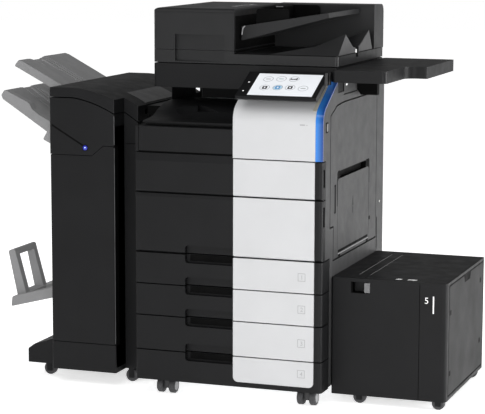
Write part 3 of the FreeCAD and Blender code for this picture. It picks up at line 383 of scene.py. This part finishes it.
def ring_shape(name, centre, outer, inner, to_world, depth, body, look, steps=28):
    """A thin flat ring on a face."""
    bm = bmesh.new()
    rows = []
    for radius, out in ((outer, 0.0), (outer, depth), (inner, depth), (inner, 0.0)):
        row = []
        for index in range(steps):
            turn = 2 * math.pi * index / steps
            spot = to_world(centre[0] + radius * math.cos(turn), centre[1] + radius * math.sin(turn), out)
            row.append(bm.verts.new(spot))
        rows.append(row)
    for row, following_row in zip(rows, rows[1:] + rows[:1]):
        for index in range(steps):
            following = (index + 1) % steps
            bm.faces.new((row[index], row[following], following_row[following], following_row[index]))
    return hang(to_mesh(bm, name), name, body, look)


def numeral(name, text, height, to_world, corner, depth, body, look):
    """A plain number standing slightly proud of a face, its lower left corner at corner."""
    curve = bpy.data.curves.new(name, "FONT")
    curve.body = text
    curve.size = height / 0.69
    curve.extrude = depth / 2
    shape = bpy.data.objects.new(name, curve)
    bpy.context.scene.collection.objects.link(shape)
    bpy.context.view_layer.update()
    mesh = bpy.data.meshes.new_from_object(shape.evaluated_get(bpy.context.evaluated_depsgraph_get()))
    bpy.data.objects.remove(shape)
    for vertex in mesh.vertices:
        a, b, out = vertex.co
        vertex.co = to_world(corner[0] + a, corner[1] + b, out + depth / 2)
    return hang(mesh, name, body, look)


def on_front(depth):
    """Places (across, up, out) on a face that looks to the front at a given Y."""
    return lambda a, b, out: at(a, depth - out, b)


def on_right(x):
    return lambda a, b, out: at(x + out, a, b)


def on_rear(y):
    return lambda a, b, out: at(a, y + out, b)


def on_top(z):
    return lambda a, b, out: at(a, b, z + out)


def on_panel(a, b, out):
    """Places (across, up the slope, out) on the tilted control panel."""
    y = PANEL_FRONT[0] + b * math.cos(PANEL_TILT) - out * math.sin(PANEL_TILT)
    z = PANEL_FRONT[1] + b * math.sin(PANEL_TILT) + out * math.cos(PANEL_TILT)
    return at(a, y, z)


def rounded_rectangle(a0, a1, b0, b1, radius):
    corners = (((a1 - radius, b0 + radius), -90), ((a1 - radius, b1 - radius), 0),
               ((a0 + radius, b1 - radius), 90), ((a0 + radius, b0 + radius), 180))
    points = []
    for centre, start in corners:
        points += arc(centre, radius, start, start + 90, 4)
    return points


# ---- front of the copier ---------------------------------------------------------------------------
def frame_line(name, box_low, box_high, width, to_world, depth, body, look):
    """Four thin strips that draw a rectangle on a face."""
    (a0, b0), (a1, b1) = box_low, box_high
    for side, strip in (("left", (a0, b0, a0 + width, b1)), ("right", (a1 - width, b0, a1, b1)),
                        ("foot", (a0 + width, b0, a1 - width, b0 + width)),
                        ("head", (a0 + width, b1 - width, a1 - width, b1))):
        x0, y0, x1, y1 = strip
        flat_shape(f"{name}_{side}", [(x0, y0), (x1, y0), (x1, y1), (x0, y1)], to_world, depth, body, look)


def drawer_tags():
    """Moulded numbers in a frame on the white drawer fronts."""
    for number in range(1, 5):
        middle = (DRAWER_TOPS[number - 1] + PANEL_FEET[number - 1]) / 2 + 1
        body = f"drawer_{number}"
        face = on_front(-0.02)
        numeral(f"tag_{number}_numeral", str(number), 13, face, (546, middle - 6.5), 0.3, body, "print_grey")
        frame_line(f"tag_{number}", (538, middle - 12.5), (562, middle + 12.5), 1.6, face, 0.3, body, "print_grey")


def seam_linings():
    """Painted shade: dark blocks behind the seams between doors, drawers and the white panels, plus two small grey
    marks on the white cover.
    """
    for index, z in enumerate((457.0, 357.0, 256.0, 145.0)):
        for side, x0, x1 in (("left", 12, 164), ("right", 328, 602)):
            block(f"seam_shade_{index}_{side}", (x0, 9, z - 1.2), (x1, 16, z + 1.2), "machine_body", "deep_black", 0.3)
    block("door_seam_shade", (12, 9, 644.8), (602, 16, 647.2), "machine_body", "deep_black", 0.3)
    block("white_seam_shade", (330, 9, 764.3), (602, 16, 767.3), "machine_body", "deep_black", 0.5)
    flat_shape("cover_dash", rounded_rectangle(541, 558, 873.6, 877.6, 1.6), on_front(0.0), 0.15, "machine_body",
               "print_grey")
    flat_shape("cover_dot", rounded_rectangle(562, 565.5, 873.8, 876.8, 1.2), on_front(0.0), 0.15, "machine_body",
               "print_grey")
    block("upper_seam_shade", (16, 9, 771.2), (324, 16, 777.6), "machine_body", "deep_black", 0.5)


def scoop_linings():
    """Painted shade: dark strips inside the drawers' finger recesses."""
    for number, top in enumerate(DRAWER_TOPS[:4], start=1):
        block(f"grip_recess_shade_{number}", (180, 14.5, top - 22), (322, 17.8, top - 3), f"drawer_{number}",
              "deep_black", 1.2)


def output_space():
    """Dark walls round the tray inside the body, and a deep black plate on the relay neck's front as painted shade."""
    block("output_back", (47, 472.4, 903), (325.4, 473.7, 957), "machine_body", "cover_black", 0.3)
    block("output_side", (6.3, 300, 903), (7.7, 470, 957), "machine_body", "cover_black", 0.3)
    # painted shade: deep black plate on the relay neck's front
    block("neck_front_shade", (-39.5, 203.8, 866.2), (13.6, 204.9, 896.8), "machine_body", "deep_black", 0.2)


def lift_plates():
    """Steel plates that carry the paper in each drawer, with a side fence and an end fence."""
    for number in range(1, 5):
        low = DRAWER_TOPS[number]
        body = f"drawer_{number}"
        block(f"lift_plate_{number}", (60, 60, low + 18), (470, 470, low + 20), body, "frame_steel", 0.6)
        block(f"side_fence_{number}", (472, 200, low + 18), (478, 330, low + 62), body, "engine_grey", 1.5)
        block(f"end_fence_{number}", (180, 476, low + 18), (330, 482, low + 62), body, "engine_grey", 1.5)


# ---- control panel -----------------------------------------------------------------------------------
def screen_tiles():
    """Rounded tiles with plain signs on the lit screen, and the keys beside it."""
    body = "control_panel"
    tiles = ((419, 107, "tile_grey"), (460, 110, "tile_teal"), (501, 111, "tile_bars"),
             (423, 55, "tile_black"), (464, 57, "tile_blue"), (503, 59, "tile_black"), (545, 56, "tile_grey"))
    for index, (across, up, kind) in enumerate(tiles):
        name = f"tile_{index}"
        ring_shape(name + "_ring", (across, up), 15.8, 14.4, on_panel, 0.1, body, "tile_grey")
        if kind == "tile_blue":
            disc = rounded_rectangle(across - 14, across + 14, up - 14, up + 14, 13.9)
            flat_shape(name + "_disc", disc, on_panel, 0.08, body, "tile_pale_blue")
        if kind in ("tile_black", "tile_blue"):
            look = "tile_black" if kind == "tile_black" else "tile_blue"
            outer = rounded_rectangle(across - 7.5, across + 7.5, up - 8.5, up + 8.5, 2.5)
            inner = rounded_rectangle(across - 2.5, across + 2.5, up - 4, up + 4, 1.2)
            flat_shape(name + "_sign", outer, on_panel, 0.16, body, look)
            flat_shape(name + "_heart", inner, on_panel, 0.24, body, "screen_glass")
        elif kind == "tile_bars":
            for bar_index, height in enumerate((9, 6, 7.5, 11)):
                left = across - 12 + bar_index * 6
                outline = rounded_rectangle(left, left + 4.6, up - 5, up - 5 + height, 1)
                flat_shape(f"{name}_bar_{bar_index}", outline, on_panel, 0.16, body, "tile_black")
        else:
            look = "tile_teal" if kind == "tile_teal" else "print_grey"
            outline = rounded_rectangle(across - 8, across + 8, up - 1.6, up + 1.6, 1.5)
            flat_shape(name + "_sign", outline, on_panel, 0.16, body, look)
    for index, (across, up) in enumerate(((361, 30), (363, 84))):
        outline = rounded_rectangle(across - 5, across + 5, up - 5, up + 5, 4.9)
        flat_shape(f"panel_key_{index}", outline, on_panel, 0.6, body, "deep_black")
        flat_shape(f"panel_key_mark_{index}", rounded_rectangle(across - 2, across + 3, up - 1.8, up + 1.8, 1.7),
                   lambda a, b, out: on_panel(a, b, out + 0.6), 0.15, body, "lamp_white")


def console_edge():
    """Painted highlight: a pale cream strip beside the blue strip, along the console's slope, for the white slope's lit
    side edge.
    """
    outline = [(8, 917), (148, 998.0), (148, 999.0), (8, 918.1)]
    bar("strip_edge_highlight", "yz", outline, 579, 590, "machine_body", "cream_edge_highlight", 0.2)


# ---- right side ----------------------------------------------------------------------------------------
def right_side():
    body = "machine_body"
    latch = rounded_rectangle(28, 52, 850, 882, 4)
    flat_shape("latch_frame", latch, on_right(BODY_WIDTH), 0.6, body, "deep_black")
    flat_shape("latch_catch", rounded_rectangle(34, 46, 854, 878, 2.5), on_right(BODY_WIDTH + 0.6), 1.4, body,
               "latch_grey")
    block("port_panel", (612.4, 221, 956.5), (614.8, 360, 1000.5), body, "side_grey", 0.8)
    block("port_panel_edge", (611.9, 214, 952), (613.0, 362, 1000.8), body, "deep_black", 0.2)
    block("port_cap", (614.4, 236, 979), (616.2, 250, 984.5), body, "print_white", 0.6)
    block("port_socket", (614.6, 286, 986), (615.4, 296, 993), body, "deep_black", 0.2)
    hinge_details()
    for index, (y, z) in enumerate(((640, 560), (640, 300))):
        screw(f"side_screw_{index}", (BODY_WIDTH, y, z), (1, 0, 0), body)
    bypass_details()


def hinge_details():
    """Hinge of the control panel at the right end of the console, under the scanner."""
    body = "machine_body"
    turned("console_hinge", (603, 128, 1012), (1, 0, 0),
           [(0, 0), (0, 14), (10, 14), (10, 8), (8.5, 7), (11, 5), (11, 0)], body, "deep_black", 28)
    turned("console_hinge_pin", (613.2, 128, 1012), (1, 0, 0), [(0, 5.5), (1.6, 5), (1.6, 0)], body, "tray_grey", 24)
    for index in range(4):
        y = 46 + index * 13
        # every other rib is lighter grey: painted light and shade across the ribs
        bar(f"hinge_rib_{index}", "yz", [(y, 992), (y + 6, 992), (y + 14, 1030), (y + 8, 1030)], 603, 611, body,
            "deep_black" if index % 2 else "side_grey", 0.6)


def bypass_details():
    """Painted shade in black blocks and bands: the recesses round the bypass tray, its top edge, its foot gap, the rear
    groove and the side grips; a pale rib under the tray is a painted highlight. Also the tray's emblem and hinge.
    """
    body = "right_door"
    # painted shade: black blocks in the recess above the bypass tray
    block("bypass_recess_back", (597.1, 182, 694.5), (598.2, 474, 717.5), body, "deep_black", 0.2)
    for name, low, high in (("head", (597.5, 184, 716.2), (614.6, 472, 717.8)),
                            ("front", (597.5, 181.2, 694), (614.6, 182.6, 714)),
                            ("rear", (597.5, 473.4, 694), (614.6, 474.8, 714))):
        block(f"bypass_recess_{name}", low, high, body, "deep_black", 0.2)
    # painted shade: black bands along the top and front of the bypass tray
    corners = {
        "front": [(152.5, 610), (152.5, 712), (160, 719.5), (181, 719.5), (181, 696.2), (157, 696.2), (157, 610)],
        "rear": [(475, 696.2), (475, 719.5), (508, 719.5), (513.5, 713), (513.5, 640), (510.2, 640), (510.2, 696.2)],
    }
    for side, outline in corners.items():
        flat_shape(f"bypass_corner_{side}", outline, on_right(BODY_WIDTH), 0.15, body, "deep_black")
    block("guide_groove", (612.1, 122.5, 590.5), (612.9, 139.5, 679.5), body, "side_steel", 0.2)
    for index, z in enumerate((590, 674)):
        block(f"guide_groove_end_{index}", (612.4, 123, z), (614.6, 139, z + 6), body, "deep_black", 0.3)
    block("bypass_stop", (614.5, 512, 516), (615.6, 526, 528), body, "deep_black", 0.4)
    tray = "bypass_tray"
    # painted shade: black band along the tray's top edge
    block("bypass_top_edge", (600.4, 174, 693.6), (614.2, 493, 694.3), tray, "deep_black", 0.2)
    arrow = [(318, 590), (334, 590), (326, 622)]
    flat_shape("bypass_arrow", arrow, on_right(BODY_WIDTH - 0.05), 0.3, tray, "side_steel")
    flat_shape("bypass_arrow_tail", rounded_rectangle(323, 329, 566, 588, 1), on_right(BODY_WIDTH - 0.05), 0.3, tray,
               "side_steel")
    # painted shade in the foot gap, and a painted highlight on the pale rib below it
    bar("bypass_foot_gap", "xz", [(614.6, 462), (615.2, 462), (615.2, 470), (614.6, 470)], 166, 500, tray,
        "deep_black", 0.1)
    bar("bypass_foot_highlight", "xz", [(614.6, 456), (616.4, 456.8), (616.4, 459.2), (614.6, 460)], 164, 503, tray,
        "tray_grey", 0.3)
    for index, y in enumerate((170, 484)):
        block(f"bypass_hinge_{index}", (614.4, y, 449), (616.6, y + 16, 456), tray, "deep_black", 0.8)
    # painted shade: black in the rear groove and in the side grips
    block("groove_shade", (611.2, 605.5, 401), (612.2, 612.5, 511), "machine_body", "deep_black", 0.2)
    block("side_grip_shade_upper", (607.1, 9.5, 686), (608.1, 23.5, 739), "toner_door", "deep_black", 0.2)
    block("side_grip_shade_lower", (607.1, 9.5, 564), (608.1, 23.5, 624), "front_door", "deep_black", 0.2)


def screw(name, centre, axis, body, radius=4.0):
    """A zinc screw head standing on a face, its cross recess drawn as two dark bars of painted shade."""
    turned(name, centre, axis, [(0.0, radius), (0.8, radius), (1.5, radius * 0.75), (1.7, 0.0)], body,
           "screw_zinc", 20)
    along = Vector(axis)
    side = Vector((0, 0, 1)) if abs(along.z) < 0.5 else Vector((0, 1, 0))
    for turn in (0, 1):
        across = side if turn == 0 else along.cross(side)
        other = along.cross(across)
        bm = bmesh.new()
        for a, b, out in ((-1, -1, 1.2), (1, -1, 1.2), (1, 1, 1.2), (-1, 1, 1.2), (-1, -1, 1.75), (1, -1, 1.75),
                          (1, 1, 1.75), (-1, 1, 1.75)):
            reach = across * a * radius * 0.55 + other * b * radius * 0.12
            bm.verts.new(at(*centre) + (reach + along * out) * MM)
        bm.verts.ensure_lookup_table()
        for face in ((0, 1, 2, 3), (4, 5, 6, 7), (0, 1, 5, 4), (1, 2, 6, 5), (2, 3, 7, 6), (3, 0, 4, 7)):
            bm.faces.new([bm.verts[i] for i in face])
        hang(to_mesh(bm, f"{name}_cross_{turn}"), f"{name}_cross_{turn}", body, "deep_black")


# ---- document feeder -------------------------------------------------------------------------------------
def feeder_details():
    block("platen_pad", (66, 190, 1043.0), (564, 550, 1066.8), "document_feeder", "foam_white", 3.0)
    block("exit_stopper", (590, 358, 1062), (604, 377, 1092), "document_feeder", "deep_black", 2.0)
    block("exit_stopper_cap", (603, 360, 1072), (609, 374, 1084), "document_feeder", "print_white", 1.2)
    bar("pickup_guide", "xz", [(300, 1160), (344, 1168), (344, 1210), (330, 1214), (318, 1214), (300, 1180)], 430,
        540, "feed_tray", "deep_black", 2.5)
    # painted highlight: a pale strip on the pickup guide's top edge
    block("pickup_guide_highlight", (319, 428.6, 1209), (343, 430.2, 1212), "feed_tray", "tray_grey", 0.6)
    block("pickup_sensor", (309, 426, 1166), (319, 431, 1196), "feed_tray", "amber", 1.5)
    # painted highlight: a small glowing white dot for a glint beside the sensor
    block("pickup_glint", (313, 424.4, 1184), (318, 426.2, 1189), "feed_tray", "lamp_white", 0.7)
    # painted shade: deep black plates on the feeder's right end, for its shadowed cavity
    block("feeder_mouth_upper", (271.6, 170, 1086), (272.6, 556, 1190), "feeder_cover", "deep_black", 0.3)
    block("feeder_mouth_lower", (271.6, 170, 1075), (272.6, 556, 1081), "document_feeder", "deep_black", 0.3)
    # painted highlight: a pale bar for the bright edge of the tray's side fence
    bar("mouth_guide", "xz", [(276, 1130), (279, 1130), (283, 1150), (290, 1158), (287, 1159), (280, 1153)], 214.6,
        217.4, "feed_tray", "lever_grey", 0.5)
    ramp_details()
    feeder_marks()


def ramp_details():
    """Painted light: lighter plates on the two exit ridges' right faces, where the light falls, and painted shadow
    lines round them.
    """
    body = "document_feeder"
    front = [(163, 1075), (239, 1134), (243, 1135), (321, 1093), (348, 1088), (348, 1075)]
    back = [(386, 1075), (386, 1090), (410, 1098), (501, 1135), (505, 1134), (542, 1075)]
    for name, outline in (("front", front), ("back", back)):
        flat_shape(f"ramp_lit_side_{name}", outline, on_right(610.9), 0.5, body, "ramp_grey")
    for index, (y0, y1) in enumerate(((160, 350), (384, 645))):
        block(f"ramp_line_{index}", (611.2, y0, 1071.6), (612.2, y1, 1074.0), body, "deep_black", 0.2)
    block("ramp_line_front", (276, 158.8, 1072.0), (606, 160.4, 1074.2), body, "deep_black", 0.2)


def feeder_marks():
    """Small plain marks on the feeder's top that show how originals go in."""
    face = on_top(1212.95)
    body = "feeder_cover"
    for index, y in enumerate((330, 350, 372, 396, 420, 446)):
        length = (22, 12, 14, 10, 16, 26)[index]
        turn = 9 if index % 2 else 4
        outline = [(196 + turn, y), (196 + turn + length, y), (196 + turn + length, y + 5), (196 + turn, y + 5)]
        flat_shape(f"feeder_mark_{index}", outline, face, 0.2, body, "print_white")
    arrow = [(214, 462), (240, 474), (214, 486)]
    flat_shape("feeder_mark_arrow", arrow, face, 0.2, body, "print_white")


# ---- side paper cabinet -------------------------------------------------------------------------------------
def cabinet_details():
    body = "paper_cabinet"
    numeral("cabinet_numeral", "5", 19, on_front(100.0), (911, 333), 0.3, body, "print_white")
    flat_shape("cabinet_bar", rounded_rectangle(937.5, 941.5, 303, 357, 1.8), on_front(100.0), 0.4, body, "print_white")
    side_plate_details()
    block("cabinet_front_seam", (895.0, 99.7, 30), (897.0, 101.2, 395), body, "deep_black", 0.1)
    for index, (x0, x1) in enumerate(((812, 828), (849, 876))):
        outline = [(x0, 126), (x1, 126), (x1 + 4, 140), (x0 + 4, 140)]
        flat_shape(f"lid_mark_{index}", outline, on_top(396.95), 0.2, "paper_cabinet_lid", "print_white")
    # painted highlight: pale lines along the lid's seam and crease
    for index, x in enumerate((684, 719.5)):
        bar(f"lid_crease_highlight_{index}", "xz", [(x, 396.4), (x + 2.0, 396.4), (x + 1.6, 397.3), (x + 0.4, 397.3)], 170, 560,
            "paper_cabinet_lid", "tray_grey", 0.0)
    # painted shade: deep black on the lever recess's left wall and floor
    block("recess_left", (678.3, 101.5, 352), (682.5, 126, 385), body, "deep_black", 0.4)
    block("recess_foot", (682.5, 101.5, 351.2), (719, 126, 352.7), body, "deep_black", 0.3)


def side_plate_details():
    """Steel plate on the cabinet's outer side with its notch, holes and dark border."""
    body = "paper_cabinet"
    outline = [(133, 44), (598, 44), (598, 383), (418, 383), (408, 362), (336, 362), (326, 383), (133, 383)]
    border = [(126.5, 38.5), (603.5, 38.5), (603.5, 388.5), (126.5, 388.5)]
    flat_shape("cabinet_side_border", border, on_right(981.05), 0.2, body, "deep_black")
    flat_shape("cabinet_side_plate", outline, on_right(981.25), 0.5, body, "side_steel")
    for index, (y, z) in enumerate(((150, 300), (150, 110), (560, 330), (560, 130))):
        outline = rounded_rectangle(y - 10, y + 10, z - 8, z + 8, 4)
        flat_shape(f"plate_hole_{index}", outline, on_right(981.75), 0.1, body, "deep_black")


# ---- finisher -----------------------------------------------------------------------------------------------
def finisher_details():
    body = "finisher"
    turned("status_lamp", (-191, 50, 770), (0, -1, 0), [(0.0, 8.2), (1.0, 7.8), (1.6, 5.0), (1.7, 0.0)], body,
           "lamp_navy", 28)
    turned("status_lamp_spot", (-191, 48.4, 771), (0, -1, 0), [(0.0, 2.3), (0.5, 2.0), (0.7, 0.0)], body,
           "lamp_blue", 24)
    turned("status_lamp_rim", (-191, 50, 770), (0, -1, 0),
           [(0.0, 10.2), (0.8, 10.2), (0.8, 8.3), (0.0, 8.3)], body, "deep_black", 28)
    crown = [(-112, 935.5), (-95, 929.0), (-78, 921.6), (-61, 913.4), (-46, 905.4)]
    outline = [(x, z + 0.4) for x, z in crown] + [(x, z - 4.0) for x, z in reversed(crown)]
    bar("ejection_plate", "xz", outline, 206, 476, "finisher_top", "ramp_grey", 0.0)
    # painted shade: a black strip over the slot, wider than the groove
    slot = [(-307, 836.2), (-307, 842.6), (-199, 780.4), (-199, 774.0)]
    bar("jam_slot_shade", "xz", slot, 49.85, 52.6, body, "deep_black", 0.1)
    # painted highlight: lighter strips along the column's front edge
    block("column_edge_lower", (-91.9, 49.8, 140), (-90.2, 51.6, 774), "finisher_door", "rear_steel", 0.6)
    block("column_edge_upper", (-91.9, 49.8, 784), (-90.2, 51.6, 874), body, "rear_steel", 0.6)
    block("column_seam", (-89, 130.6, 778.4), (-43, 131.4, 781.2), body, "deep_black", 0.2)
    block("column_shade", (-91, 56, 60), (-90, 129, 840), body, "deep_black", 0.3)
    tray_ridges()


def tray_ridges():
    """Raised ribs along the troughs of the two upper trays, in a lighter grey that paints highlights along the trough
    edges, and the bracket beside the lower one.
    """
    for index, y in enumerate((304, 350)):
        upper = [(-322, 925), (-470, 1014), (-484, 1018), (-484, 1024), (-470, 1020), (-322, 930.5)]
        bar(f"upper_rib_{index}", "xz", upper, y, y + 4, "finisher", "lever_grey", 0.8)
        lower = [(-408, 852), (-437, 865.5), (-515, 919), (-524, 923), (-524, 927), (-515, 923.4), (-437, 871), (-408, 856)]
        bar(f"stacker_rib_{index}", "xz", lower, y, y + 4, "stacker", "lever_grey", 0.8)
    wedge = [(-316.6, 838), (-343, 794), (-343, 789), (-316.6, 776)]
    bar("stacker_bracket", "xz", wedge, 62, 92, "finisher", "tray_grey", 1.5)


# ---- casters ---------------------------------------------------------------------------------------------------
def caster_details():
    for side, x in zip(("left", "right"), CASTER_X):
        for face, direction in ((x - 30, -1), (x + 30, 1)):
            turned(f"hub_{side}_{face:.0f}", (face, CASTER_Y[0], CASTER_RADIUS), (direction, 0, 0),
                   [(0.0, 15.0), (0.8, 14.2), (0.8, 8.0), (0.2, 7.5), (0.9, 6.0), (1.1, 0.0)], f"{side}_wheels",
                   "lever_grey", 28)


# ---- light, floor and camera --------------------------------------------------------------------------------------
CAMERA_PLACE = (2316.85, -5504.16, 1486.72)
CAMERA_YAW = math.radians(19.59)
CAMERA_PITCH = math.radians(8.48)
CAMERA_ROLL = 0.002405
LENS = 142.77
AMBIENT = 0.24
BACKDROP = 1.0
FLOOR_GLOW = 0.62


def make_camera():
    data = bpy.data.cameras.new("camera")
    data.lens = LENS
    data.sensor_width = 36.0
    data.clip_end = 60.0
    camera = bpy.data.objects.new("camera", data)
    bpy.context.scene.collection.objects.link(camera)
    turn = Matrix.Rotation(CAMERA_YAW, 4, "Z") @ Matrix.Rotation(math.pi / 2 - CAMERA_PITCH, 4, "X")
    camera.matrix_world = Matrix.Translation(at(*CAMERA_PLACE)) @ turn @ Matrix.Rotation(CAMERA_ROLL, 4, "Z")
    bpy.context.scene.camera = camera


def make_floor():
    bpy.ops.mesh.primitive_plane_add(size=40.0, location=(0, 0, 0))
    floor = bpy.context.object
    floor.name = "floor"
    shader = surface("floor_pale", (0.90, 0.90, 0.90), 0.01, (0.75, 0.85), grain=40.0, relief=0.00005, patch=1.5)[1]
    shader.inputs["Emission Color"].default_value = (1.0, 1.0, 1.0, 1.0)
    shader.inputs["Emission Strength"].default_value = FLOOR_GLOW
    floor.data.materials.append(looks["floor_pale"])


def lamp(name, place, aim, size, power, colour=(1.0, 1.0, 1.0)):
    data = bpy.data.lights.new(name, "AREA")
    data.shape = "RECTANGLE"
    data.size, data.size_y = size
    data.energy = power
    data.color = colour
    obj = bpy.data.objects.new(name, data)
    bpy.context.scene.collection.objects.link(obj)
    obj.location = place
    obj.rotation_euler = (Vector(aim) - Vector(place)).to_track_quat("-Z", "Y").to_euler()


def make_light():
    middle = (0.0, 0.0, 0.6)
    lamp("front_softbox", (1.2, -5.0, 1.6), middle, (3.2, 1.4), 92.0)
    lamp("low_front_softbox", (0.9, -3.6, 1.0), (0.25, -0.2, 0.95), (1.6, 0.5), 18.0)
    lamp("right_softbox", (4.6, 0.5, 1.0), (0.4, 0.0, 0.6), (2.6, 2.0), 235.0)
    lamp("left_softbox", (-4.2, 1.2, 1.6), middle, (2.5, 2.5), 60.0)
    ceiling = bpy.data.lights.new("ceiling_light", "SUN")
    ceiling.energy = 1.0
    ceiling.angle = math.radians(50)
    overhead = bpy.data.objects.new("ceiling_light", ceiling)
    overhead.rotation_euler = (math.radians(32), math.radians(-6), 0.0)
    bpy.context.scene.collection.objects.link(overhead)
    world = bpy.data.worlds.new("studio")
    world.use_nodes = True
    tree = world.node_tree
    background = tree.nodes["Background"]
    background.inputs["Color"].default_value = (1.0, 1.0, 1.0, 1.0)
    path = tree.nodes.new("ShaderNodeLightPath")
    link(tree, ramp(tree, path.outputs["Is Camera Ray"], AMBIENT, BACKDROP, 0.0, 1.0), background.inputs["Strength"])
    bpy.context.scene.world = world
    bpy.context.scene.view_settings.view_transform = "Standard"


make_looks()
finish_nodes()
drawer_tags()
seam_linings()
scoop_linings()
output_space()
lift_plates()
screen_tiles()
console_edge()
right_side()
feeder_details()
cabinet_details()
finisher_details()
caster_details()
make_camera()
make_floor()
make_light()
